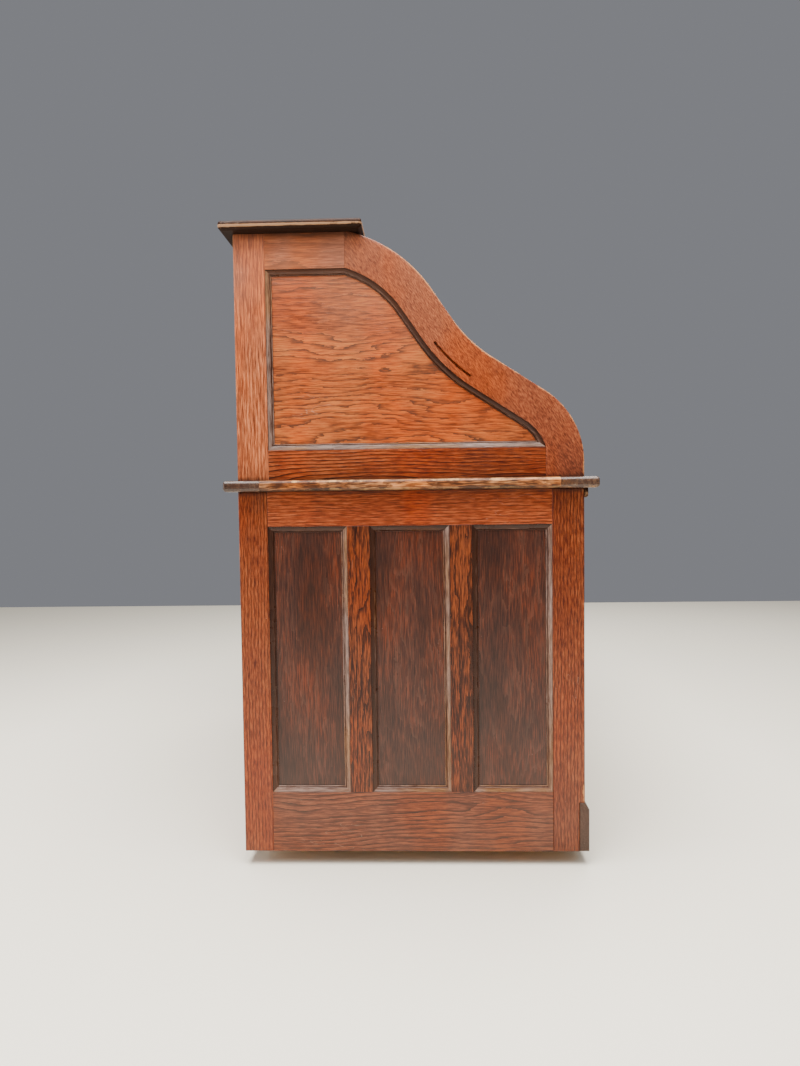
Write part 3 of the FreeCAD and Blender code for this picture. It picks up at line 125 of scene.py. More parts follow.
# A board with softened edges. The plan is a rectangle whose corners are quarter circles; rings of that plan
# are stacked over the thickness, each drawn in by edge*(1-sin a) and lowered by edge*(1-cos a) while a runs
# from 0 to 90 degrees.
def board(low, high, along, edge=0.0010, wear=1.0, tone=None, flank=0.005, grime=0.0, wornFaces=None):
    low, high = np.minimum(low, high).astype(float), np.maximum(low, high).astype(float)
    size = high - low
    thin = int(np.argmin(size))
    ia, ib = [i for i in range(3) if i != thin]
    if (ib - ia) % 3 != 1 or (thin - ib) % 3 != 1:
        ia, ib = ib, ia
    edge = min(edge, size.min() * 0.45)
    flankA = min(flank, size[ia] * 0.2)
    flankB = min(flank, size[ib] * 0.2)
    flankC = min(flank, size[thin] * 0.3)
    turns = np.radians([0, 30, 60, 90])
    planA, planB, normA, normB, planWorn = [], [], [], [], []
    for corner, (sa, sb) in enumerate(((1, 1), (-1, 1), (-1, -1), (1, -1))):
        centreA = high[ia] - edge if sa > 0 else low[ia] + edge
        centreB = high[ib] - edge if sb > 0 else low[ib] + edge
        angle = turns + math.radians(90 * corner)
        sideFirst = corner % 2 == 0
        before = (centreA + sa * edge, centreB - sb * flankB, sa, 0) if sideFirst else (
            centreA - sa * flankA, centreB + sb * edge, 0, sb)
        after = (centreA - sa * flankA, centreB + sb * edge, 0, sb) if sideFirst else (
            centreA + sa * edge, centreB - sb * flankB, sa, 0)
        planA += [before[0], *(centreA + edge * np.cos(angle)), after[0]]
        planB += [before[1], *(centreB + edge * np.sin(angle)), after[1]]
        normA += [before[2], *np.cos(angle), after[2]]
        normB += [before[3], *np.sin(angle), after[3]]
        planWorn += [0, 0.5, 1, 1, 0.5, 0]
    planA, planB, normA, normB = map(np.array, (planA, planB, normA, normB))
    rings = [(edge + min(flankA, flankB), 0, 0.0, 0.0)]
    for turn, worn in zip(turns, (0.5, 1, 1, 0.5)):
        rings.append((edge * (1 - math.sin(turn)), edge * (1 - math.cos(turn)), turn, worn))
    rings.append((0, edge + flankC, math.pi / 2, 0.0))
    stack = [(inset, high[thin] - down, turn, worn) for inset, down, turn, worn in rings]
    stack += [(inset, low[thin] + down, math.pi - turn, worn)
              for inset, down, turn, worn in reversed(rings)]
    inset, level, turn, worn = (np.array(column)[:, None] for column in zip(*stack))
    verts = np.zeros((len(stack), len(planA), 3))
    verts[..., ia] = np.clip(planA[None], low[ia] + inset, high[ia] - inset)
    verts[..., ib] = np.clip(planB[None], low[ib] + inset, high[ib] - inset)
    verts[..., thin] = level
    normals = np.zeros_like(verts)
    normals[..., ia] = normA * np.sin(turn)
    normals[..., ib] = normB * np.sin(turn)
    normals[..., thin] = np.cos(turn)
    wornAll = np.maximum(worn, np.array(planWorn)[None] * (np.sin(turn) > 0.9)) * wear
    count = len(planA)
    verts = verts.reshape(-1, 3)
    wornAll = wornAll.ravel()
    if wornFaces is not None:
        nearFace = np.zeros(len(verts), bool)
        for face in wornFaces:
            i = "xyz".index(face[1])
            nearFace |= np.abs(verts[:, i] - (high if face[0] == "+" else low)[i]) < edge * 1.05
        wornAll = wornAll * nearFace
    alongAxis = "xyz".index(along)
    across = [i for i in (ia, ib) if i != alongAxis][0] if alongAxis in (ia, ib) else ia
    deep = [i for i in range(3) if i not in (alongAxis, across)][0]
    eye = np.eye(3)
    toneValue = rng.uniform(-1, 1) if tone is None else tone
    return {
        "verts": verts,
        "quads": gridQuads(len(stack), count)[:, ::-1],
        "caps": [np.arange(count), np.arange(count)[::-1] + (len(stack) - 1) * count],
        "normals": normals.reshape(-1, 3),
        "grainPlace": grainOf(verts - (low + high) / 2, eye[alongAxis], eye[across], eye[deep]),
        "worn": wornAll,
        "tone": np.full(len(verts), toneValue),
        "grime": np.full(len(verts), float(grime)),
    }


# Boards from rows of low corner, high corner and grain axis.
def boardsFrom(rows, **options):
    return [board(low, high, along, **options) for low, high, along in rows]


# Boxes of a CAD node's separate solids: corners at the same place are one point, and triangles that share
# points are one solid, found by passing the lowest label along every triangle until nothing changes.
def solidBoxes(node):
    mesh = nodes[node].data
    points = np.empty(len(mesh.vertices) * 3)
    mesh.vertices.foreach_get("co", points)
    mesh.calc_loop_triangles()
    tris = np.empty(len(mesh.loop_triangles) * 3, int)
    mesh.loop_triangles.foreach_get("vertices", tris)
    points, tris = points.reshape(-1, 3), tris.reshape(-1, 3)
    _, same = np.unique(np.round(points, 6), axis=0, return_inverse=True)
    tris = same.reshape(-1)[tris]
    label = np.arange(tris.max() + 1)
    while True:
        lowest = label[tris].min(1)
        new = label.copy()
        for corner in range(3):
            np.minimum.at(new, tris[:, corner], lowest)
        if np.array_equal(new, label):
            break
        label = new
    pointLabel = label[same.reshape(-1)]
    boxes = []
    for value in np.unique(label):
        own = points[pointLabel == value]
        if len(own):
            boxes.append((own.min(0), own.max(0)))
    return boxes


# A closed outline (second index) carried along a path (first index), with flat ends. Worn, tone and grime
# (dirt and painted shade) are each one value, or one for every ring, every point of the outline, or both.
def sweptRing(rings, along, width, depth, worn=0.0, tone=None, grime=0.0):
    rows, cols = rings.shape[:2]
    verts = rings.reshape(-1, 3)

    def spread(value):
        return np.broadcast_to(np.asarray(value, float), (rows, cols)).ravel()

    return {
        "verts": verts,
        "quads": gridQuads(rows, cols),
        "caps": [np.arange(cols)[::-1], np.arange(cols) + (rows - 1) * cols],
        "grainPlace": grainOf(verts - verts.mean(0), along, width, depth),
        "worn": spread(worn),
        "tone": spread(rng.uniform(-1, 1) if tone is None else tone),
        "grime": spread(grime),
    }


# An empty shader node group with named sockets.
def newGroup(name, inputs, outputs):
    tree = bpy.data.node_groups.new(name, "ShaderNodeTree")
    for label, kind, value in inputs:
        socket = tree.interface.new_socket(name=label, in_out="INPUT", socket_type="NodeSocket" + kind)
        if value is not None:
            socket.default_value = value
    for label, kind in outputs:
        tree.interface.new_socket(name=label, in_out="OUTPUT", socket_type="NodeSocket" + kind)
    return tree, tree.nodes.new("NodeGroupInput"), tree.nodes.new("NodeGroupOutput")


# A node with its properties, socket values and incoming links set in one go.
def wire(tree, kind, settings=None, links=None, **props):
    made = tree.nodes.new("ShaderNode" + kind)
    for key, value in props.items():
        setattr(made, key, value)
    for key, value in (settings or {}).items():
        made.inputs[key].default_value = value
    for key, source in (links or {}).items():
        tree.links.new(source, made.inputs[key])
    return made


# One sum: a (operation) b, of numbers or sockets, held between 0 and 1 when it is clamped.
def mathNode(tree, operation, a, b=None, clamp=False):
    made = wire(tree, "Math", operation=operation, use_clamp=clamp)
    for index, value in enumerate((a, b)):
        if value is None:
            continue
        if isinstance(value, (int, float)):
            made.inputs[index].default_value = value
        else:
            tree.links.new(value, made.inputs[index])
    return made.outputs[0]


# A colour for a value: stops are (place from 0 to 1, colour), with a blend between each stop and the next.
def ramp(tree, source, stops, smooth="EASE"):
    made = wire(tree, "ValToRGB", links={"Fac": source})
    made.color_ramp.interpolation = smooth
    bar = made.color_ramp.elements
    bar[0].position, bar[0].color = stops[0][0], (*stops[0][1], 1)
    bar[1].position, bar[1].color = stops[-1][0], (*stops[-1][1], 1)
    for place, colour in stops[1:-1]:
        bar.new(place).color = (*colour, 1)
    return made.outputs["Color"]


# a * (1 - factor) + b * factor, where b is a * b when the mode is MULTIPLY.
def mixColour(tree, factor, a, b, mode="MIX"):
    made = wire(tree, "Mix", data_type="RGBA", blend_type=mode, clamp_factor=True)
    for socket, value in ((made.inputs[0], factor), (made.inputs[6], a), (made.inputs[7], b)):
        if isinstance(value, bpy.types.NodeSocket):
            tree.links.new(value, socket)
        else:
            socket.default_value = value
    return made.outputs[2]


# Oak figure. Year rings are the distance from a wandering pith plus a slow noise drawn out along the grain,
# so that a board sawn through them shows long arches, flames and closed islands: ring number = distance /
# spacing + flame * noise + ragged * noise. Lines are the dark late edges of the rings, pores are short dark
# dashes in the early wood, and fibre is the light and dark streaking between them.
def makeOakGroup():
    tree, given, out = newGroup("oakFigure", [
        ("Place", "Vector", None), ("Ring Spacing", "Float", 0.006), ("Pith Depth", "Float", 0.05),
        ("Pith Side", "Float", 0.0), ("Wander", "Float", 0.012), ("Flame", "Float", 0.4),
        ("Ragged", "Float", 0.35), ("Fibre Width", "Float", 1.0), ("Fibre Length", "Float", 1.0),
    ], [("Rings", "Float"), ("Lines", "Float"), ("Pores", "Float"), ("Fibre", "Float"), ("Cloud", "Float")])
    place = given.outputs["Place"]

    # noise whose features are 1/along metres long and 1/across metres wide
    def stretched(along, across, detail, roughness):
        mapped = wire(tree, "Mapping", {"Scale": (along, across, across)}, {"Vector": place})
        return wire(tree, "TexNoise", {"Scale": 1.0, "Detail": detail, "Roughness": roughness},
                    {"Vector": mapped.outputs[0]})

    # 0 below low and 1 above high, with an ease or a straight line between
    def span(source, low, high, smooth="SMOOTHSTEP"):
        return wire(tree, "MapRange", {"From Min": low, "From Max": high}, {"Value": source},
                    interpolation_type=smooth).outputs[0]

    drift = stretched(1.6, 5.0, 3.0, 0.55)
    flame = stretched(3.0, 13.0, 2.0, 0.5)
    rag = stretched(24.0, 110.0, 3.0, 0.6)
    pore = stretched(45.0, 620.0, 3.0, 0.6)
    fibreAlong = mathNode(tree, "DIVIDE", 34.0, given.outputs["Fibre Length"])
    fibreAcross = mathNode(tree, "DIVIDE", 430.0, given.outputs["Fibre Width"])
    fibreScale = wire(tree, "CombineXYZ", links={0: fibreAlong, 1: fibreAcross, 2: fibreAcross})
    fibrePlace = wire(tree, "VectorMath", links={0: place, 1: fibreScale.outputs[0]}, operation="MULTIPLY")
    fibre = wire(tree, "TexNoise", {"Scale": 1.0, "Detail": 4.0, "Roughness": 0.6},
                 {"Vector": fibrePlace.outputs[0]})
    cloud = stretched(4.0, 14.0, 3.0, 0.55)
    parts = wire(tree, "SeparateXYZ", links={0: place})
    driftParts = wire(tree, "SeparateColor", links={0: drift.outputs["Color"]})
    offA = mathNode(tree, "SUBTRACT", driftParts.outputs[0], 0.5)
    offB = mathNode(tree, "SUBTRACT", driftParts.outputs[1], 0.5)
    sideWander = mathNode(tree, "MULTIPLY", offA, mathNode(tree, "MULTIPLY", given.outputs["Wander"], 4.0))
    offPith = mathNode(tree, "ADD", parts.outputs[1], given.outputs["Pith Side"])
    across = mathNode(tree, "ADD", offPith, sideWander)
    deep = mathNode(tree, "ADD", given.outputs["Pith Depth"], mathNode(tree, "MULTIPLY", offB, mathNode(
        tree, "MULTIPLY", given.outputs["Wander"], 12.0)))
    radius = mathNode(tree, "SQRT", mathNode(tree, "ADD", mathNode(tree, "MULTIPLY", across, across),
                                             mathNode(tree, "MULTIPLY", deep, deep)))
    counted = mathNode(tree, "DIVIDE", radius, given.outputs["Ring Spacing"])
    flames = mathNode(tree, "MULTIPLY", mathNode(tree, "SUBTRACT", flame.outputs["Fac"], 0.5), mathNode(
        tree, "MULTIPLY", given.outputs["Flame"], 14.0))
    ragged = mathNode(tree, "MULTIPLY", mathNode(tree, "SUBTRACT", rag.outputs["Fac"], 0.5), mathNode(
        tree, "MULTIPLY", given.outputs["Ragged"], 3.0))
    counted = mathNode(tree, "ADD", mathNode(tree, "ADD", counted, flames), ragged)
    saw = mathNode(tree, "FRACT", counted)
    lines = mathNode(tree, "MULTIPLY", span(saw, 0.62, 0.95, "LINEAR"),
                     span(cloud.outputs["Fac"], 0.36, 0.56))
    pores = mathNode(tree, "MULTIPLY", span(pore.outputs["Fac"], 0.54, 0.64), mathNode(
        tree, "SUBTRACT", 1.1, saw), True)
    for label, source in (("Rings", mathNode(tree, "POWER", saw, 1.8)), ("Lines", lines), ("Pores", pores),
                          ("Fibre", span(fibre.outputs["Fac"], 0.34, 0.66)),
                          ("Cloud", span(cloud.outputs["Fac"], 0.30, 0.70))):
        tree.links.new(source, out.inputs[label])
    return tree


# heights where painted shade, with some dirt, begins and where it is full: under the top board, on the
# writing top, and below that
dirtAndShadeHeights = ((1.246, 1.263), (0.790, 0.781), (0.746, 0.757))
dirtAndShadeReach = 0.018


# What a century in a room does to varnish, with painted light and shade. The first output is a dull bloom
# near the floor and under the top, partly a painted sheen for reflected light: (how far below Low or above
# High) * patchy noise. Warm is where light has kept the colour orange. The last output is painted shade,
# with some dirt, in the corners under the two tops and at the foot of the upper case, and fades over 8 to 16
# mm.
def makeAgeSheenShadeGroup():
    tree, given, out = newGroup("agedBloomSheenAndShade", [
        ("Place", "Vector", None), ("Low", "Float", 0.32), ("High", "Float", 0.98),
        ("Reach", "Float", 0.25),
    ], [("BloomAndSheen", "Float"), ("Warm", "Float"), ("DirtAndShade", "Float")])
    place = given.outputs["Place"]
    height = wire(tree, "SeparateXYZ", links={0: place}).outputs[2]
    below = mathNode(tree, "DIVIDE", mathNode(tree, "SUBTRACT", given.outputs["Low"], height),
                     given.outputs["Reach"], True)
    above = mathNode(tree, "DIVIDE", mathNode(tree, "SUBTRACT", height, given.outputs["High"]),
                     given.outputs["Reach"], True)
    patch = wire(tree, "TexNoise", {"Scale": 7.0, "Detail": 3.0, "Roughness": 0.6}, {"Vector": place})
    patchy = wire(tree, "MapRange", {"From Min": 0.3, "From Max": 0.7}, {"Value": patch.outputs["Fac"]})
    bloomAndSheen = mathNode(tree, "MULTIPLY", mathNode(tree, "MAXIMUM", below, above), mathNode(
        tree, "ADD", mathNode(tree, "MULTIPLY", patchy.outputs[0], 0.7), 0.3), True)
    tall = wire(tree, "Mapping", {"Scale": (9.0, 9.0, 3.5), "Location": (3.1, 1.7, 0.4)}, {"Vector": place})
    warm = wire(tree, "TexNoise", {"Scale": 1.0, "Detail": 2.0}, {"Vector": tall.outputs[0]})
    warmth = wire(tree, "MapRange", {"From Min": 0.42, "From Max": 0.66}, {"Value": warm.outputs["Fac"]},
                  interpolation_type="SMOOTHSTEP")
    corners = 0.0
    for fade, full in dirtAndShadeHeights:
        near = wire(tree, "MapRange", {"From Min": fade, "From Max": full}, {"Value": height},
                    interpolation_type="SMOOTHSTEP")
        away = mathNode(tree, "ABSOLUTE", mathNode(tree, "SUBTRACT", height, full))
        inside = mathNode(tree, "LESS_THAN", away, dirtAndShadeReach)
        corners = mathNode(tree, "MAXIMUM", mathNode(tree, "MULTIPLY", near.outputs[0], inside), corners)
    tree.links.new(mathNode(tree, "MULTIPLY", corners, mathNode(tree, "ADD", patchy.outputs[0], 0.4), True),
                   out.inputs["DirtAndShade"])
    tree.links.new(bloomAndSheen, out.inputs["BloomAndSheen"])
    tree.links.new(warmth.outputs[0], out.inputs["Warm"])
    return tree


# Worn edges and scratches. Wood is bare where noise > 1.05 - 0.85 * edge * amount, scratches lie where a
# noise drawn out in one direction is within 0.004 of its middle, and specks are the centres of a few cells
# of a cell pattern.
def makeWearGroup():
    tree, given, out = newGroup("wornVarnish", [
        ("Place", "Vector", None), ("Edge", "Float", 0.0), ("Amount", "Float", 0.6),
        ("Scratches", "Float", 0.3),
        ("Specks", "Float", 0.3),
    ], [("Bare", "Float"), ("Scratch", "Float"), ("DirtAndShade", "Float")])
    place = given.outputs["Place"]
    breakup = wire(tree, "TexNoise", {"Scale": 38.0, "Detail": 6.0, "Roughness": 0.7}, {"Vector": place})
    wide = wire(tree, "TexNoise", {"Scale": 7.0, "Detail": 2.0}, {"Vector": place})
    level = mathNode(tree, "ADD", breakup.outputs["Fac"], mathNode(
        tree, "MULTIPLY", mathNode(tree, "SUBTRACT", wide.outputs["Fac"], 0.5), 0.9))
    cutoff = mathNode(tree, "SUBTRACT", 1.05, mathNode(tree, "MULTIPLY", given.outputs["Edge"], mathNode(
        tree, "MULTIPLY", given.outputs["Amount"], 0.85)))
    bare = wire(tree, "MapRange", {"To Min": 0.0, "To Max": 1.0}, {
        "Value": level, "From Min": cutoff, "From Max": mathNode(tree, "ADD", cutoff, 0.14)})
    bend = wire(tree, "TexNoise", {"Scale": 9.0, "Detail": 2.0}, {"Vector": place})
    bent = wire(tree, "VectorMath", operation="MULTIPLY_ADD")
    tree.links.new(bend.outputs["Color"], bent.inputs[0])
    bent.inputs[1].default_value = (0.05, 0.05, 0.05)
    tree.links.new(place, bent.inputs[2])
    lines = []
    for turn, scale in ((0.7, 60.0), (-1.1, 85.0)):
        turned = wire(tree, "Mapping", {"Rotation": (turn * 0.5, turn * 0.3, turn),
                                        "Scale": (scale * 0.09, scale, scale)},
                      {"Vector": bent.outputs[0]})
        streak = wire(tree, "TexNoise", {"Scale": 1.0, "Detail": 1.0}, {"Vector": turned.outputs[0]})
        gap = mathNode(tree, "ABSOLUTE", mathNode(tree, "SUBTRACT", streak.outputs["Fac"], 0.5))
        lines.append(wire(tree, "MapRange", {"From Min": 0.004, "From Max": 0.0},
                          {"Value": gap}).outputs[0])
    where = wire(tree, "TexNoise", {"Scale": 4.5, "Detail": 2.0}, {"Vector": place})
    whereMask = wire(tree, "MapRange", {"From Min": 0.58, "From Max": 0.72},
                     {"Value": where.outputs["Fac"]})
    scratch = mathNode(tree, "MULTIPLY", mathNode(tree, "MAXIMUM", *lines), mathNode(
        tree, "MULTIPLY", whereMask.outputs[0], given.outputs["Scratches"]))
    dot = wire(tree, "TexVoronoi", {"Scale": 120.0, "Randomness": 1.0}, {"Vector": place})
    dots = wire(tree, "MapRange", {"From Min": 0.10, "From Max": 0.05}, {"Value": dot.outputs["Distance"]})
    few = wire(tree, "TexNoise", {"Scale": 55.0, "Detail": 1.0}, {"Vector": place})
    fewMask = wire(tree, "MapRange", {"From Min": 0.68, "From Max": 0.76}, {"Value": few.outputs["Fac"]})
    specks = mathNode(tree, "MULTIPLY", mathNode(tree, "MULTIPLY", dots.outputs[0], fewMask.outputs[0]),
                      given.outputs["Specks"])
    tree.links.new(bare.outputs[0], out.inputs["Bare"])
    tree.links.new(mathNode(tree, "MAXIMUM", scratch, specks), out.inputs["Scratch"])
    smear = wire(tree, "TexNoise", {"Scale": 16.0, "Detail": 5.0, "Roughness": 0.65}, {"Vector": place})
    tree.links.new(smear.outputs["Fac"], out.inputs["DirtAndShade"])
    return tree


oakGroup = makeOakGroup()
wearGroup = makeWearGroup()
ageSheenShadeGroup = makeAgeSheenShadeGroup()


# A new material, its node tree and its Principled shader.
def newMaterial(name):
    material = bpy.data.materials.new(name)
    material.use_nodes = True
    return material, material.node_tree, material.node_tree.nodes["Principled BSDF"]


# A shared node group set into a material, with its own values and links.
def groupNode(tree, group, settings, links):
    made = tree.nodes.new("ShaderNodeGroup")
    made.node_tree = group
    for key, value in settings.items():
        made.inputs[key].default_value = value
    for key, source in links.items():
        tree.links.new(source, made.inputs[key])
    return made


# Stained and varnished oak. Depth of tone = 0.5 + fibre * fibre amount - rings + cloud + board's own tone,
# and the stain runs from dark through middle to light over it. The figure's lines, pores, a bloom that is
# partly painted sheen, worn edges, scratches, and dirt with painted shade are laid over that in turn, and the
# varnish thins where the wood is bare.
def oakMaterial(name, dark, middle, light, line=(0.045, 0.010, 0.004), bare=(0.52, 0.22, 0.08),
                roughness=0.36, gloss=0.2, coat=0.15, coatRoughness=0.16, ringSpacing=0.006, pithDepth=0.05,
                pithSide=0.0, wander=0.012, flame=0.12, ragged=0.3, lines=0.5, pores=0.6, fibre=0.55,
                fibreWidth=1.0, fibreLength=1.0, worn=0.6, scratches=0.3, specks=0.3, toneSpread=0.12,
                rings=0.2, cloudy=0.3, dirty=0.12, bloomAndSheen=(0.30, 0.15, 0.10), bloomAndSheenAmount=0.22,
                warm=(1.15, 0.85, 0.45), corners=0.7, strength=1.0, bump=0.35):
    material, tree, shader = newMaterial(name)
    grain = wire(tree, "Attribute", attribute_name="grainPlace").outputs["Vector"]
    edge = wire(tree, "Attribute", attribute_name="worn").outputs["Fac"]
    tone = wire(tree, "Attribute", attribute_name="tone").outputs["Fac"]
    grime = wire(tree, "Attribute", attribute_name="grime").outputs["Fac"]
    inRoom = wire(tree, "TexCoord").outputs["Object"]
    figure = groupNode(tree, oakGroup, {
        "Ring Spacing": ringSpacing, "Pith Depth": pithDepth, "Pith Side": pithSide, "Wander": wander,
        "Flame": flame, "Ragged": ragged,
        "Fibre Width": fibreWidth, "Fibre Length": fibreLength}, {"Place": grain}).outputs
    wear = groupNode(tree, wearGroup, {"Amount": worn, "Scratches": scratches, "Specks": specks},
                     {"Place": grain, "Edge": edge}).outputs
    ageSheenShade = groupNode(tree, ageSheenShadeGroup, {}, {"Place": inRoom}).outputs

    # amount * (value - its middle)
    def share(value, middleValue, amount):
        return mathNode(tree, "MULTIPLY", mathNode(tree, "SUBTRACT", value, middleValue), amount)

    depth = mathNode(tree, "ADD", 0.5, share(figure["Fibre"], 0.5, fibre))
    depth = mathNode(tree, "SUBTRACT", depth, share(figure["Rings"], 0.35, rings))
    depth = mathNode(tree, "ADD", depth, share(figure["Cloud"], 0.5, cloudy))
    depth = mathNode(tree, "ADD", depth, mathNode(tree, "MULTIPLY", tone, toneSpread), True)
    dark, middle, light, line, bloomAndSheen = (
        [strength * part for part in one] for one in (dark, middle, light, line, bloomAndSheen))
    colour = ramp(tree, depth, [(0.0, dark), (0.5, middle), (1.0, light)], "LINEAR")
    colour = mixColour(tree, ageSheenShade["Warm"], colour, (*warm, 1), "MULTIPLY")
    colour = mixColour(tree, mathNode(tree, "MULTIPLY", figure["Lines"], lines), colour, (*line, 1))
    colour = mixColour(tree, mathNode(tree, "MULTIPLY", figure["Pores"], pores), colour,
                       (*(0.6 * part for part in line), 1))
    # a pale bloom near the floor and the top, partly a painted sheen that stands in for reflected light
    colour = mixColour(tree, mathNode(tree, "MULTIPLY", ageSheenShade["BloomAndSheen"], bloomAndSheenAmount), colour, (*bloomAndSheen, 1))
    colour = mixColour(tree, mathNode(tree, "MULTIPLY", wear["Bare"], 0.85), colour, (*bare, 1))
    colour = mixColour(tree, wear["Scratch"], colour, (0.62, 0.48, 0.36, 1))
    # dirt and painted shade: per-point marks, smears of dirt, and painted shade under the tops, scaled by
    # corners
    dirtAndShade = mathNode(tree, "ADD", grime, mathNode(tree, "MULTIPLY", mathNode(
        tree, "SUBTRACT", wear["DirtAndShade"], 0.45, True), dirty * 4))
    dirtAndShade = mathNode(tree, "ADD", dirtAndShade, mathNode(tree, "MULTIPLY", ageSheenShade["DirtAndShade"], corners))
    colour = mixColour(tree, mathNode(tree, "MULTIPLY", dirtAndShade, 0.92, True), colour, (0.014, 0.007, 0.005, 1))
    tree.links.new(colour, shader.inputs["Base Color"])
    rough = mathNode(tree, "ADD", roughness, share(wear["DirtAndShade"], 0.5, 0.3))
    rough = mathNode(tree, "ADD", rough, mathNode(tree, "MULTIPLY", wear["Bare"], 0.22), True)
    tree.links.new(rough, shader.inputs["Roughness"])
    shader.inputs["Specular IOR Level"].default_value = gloss
    shader.inputs["Coat Roughness"].default_value = coatRoughness
    tree.links.new(mathNode(tree, "MULTIPLY", mathNode(tree, "SUBTRACT", 1.0, wear["Bare"]), coat),
                   shader.inputs["Coat Weight"])
    height = mathNode(tree, "SUBTRACT", mathNode(tree, "MULTIPLY", figure["Fibre"], 0.3),
                      mathNode(tree, "MULTIPLY", figure["Pores"], 0.8))
    height = mathNode(tree, "SUBTRACT", height, mathNode(tree, "MULTIPLY", wear["Scratch"], 0.5))
    relief = wire(tree, "Bump", {"Strength": bump, "Distance": 0.0005}, {"Height": height})
    tree.links.new(relief.outputs[0], shader.inputs["Normal"])
    return material


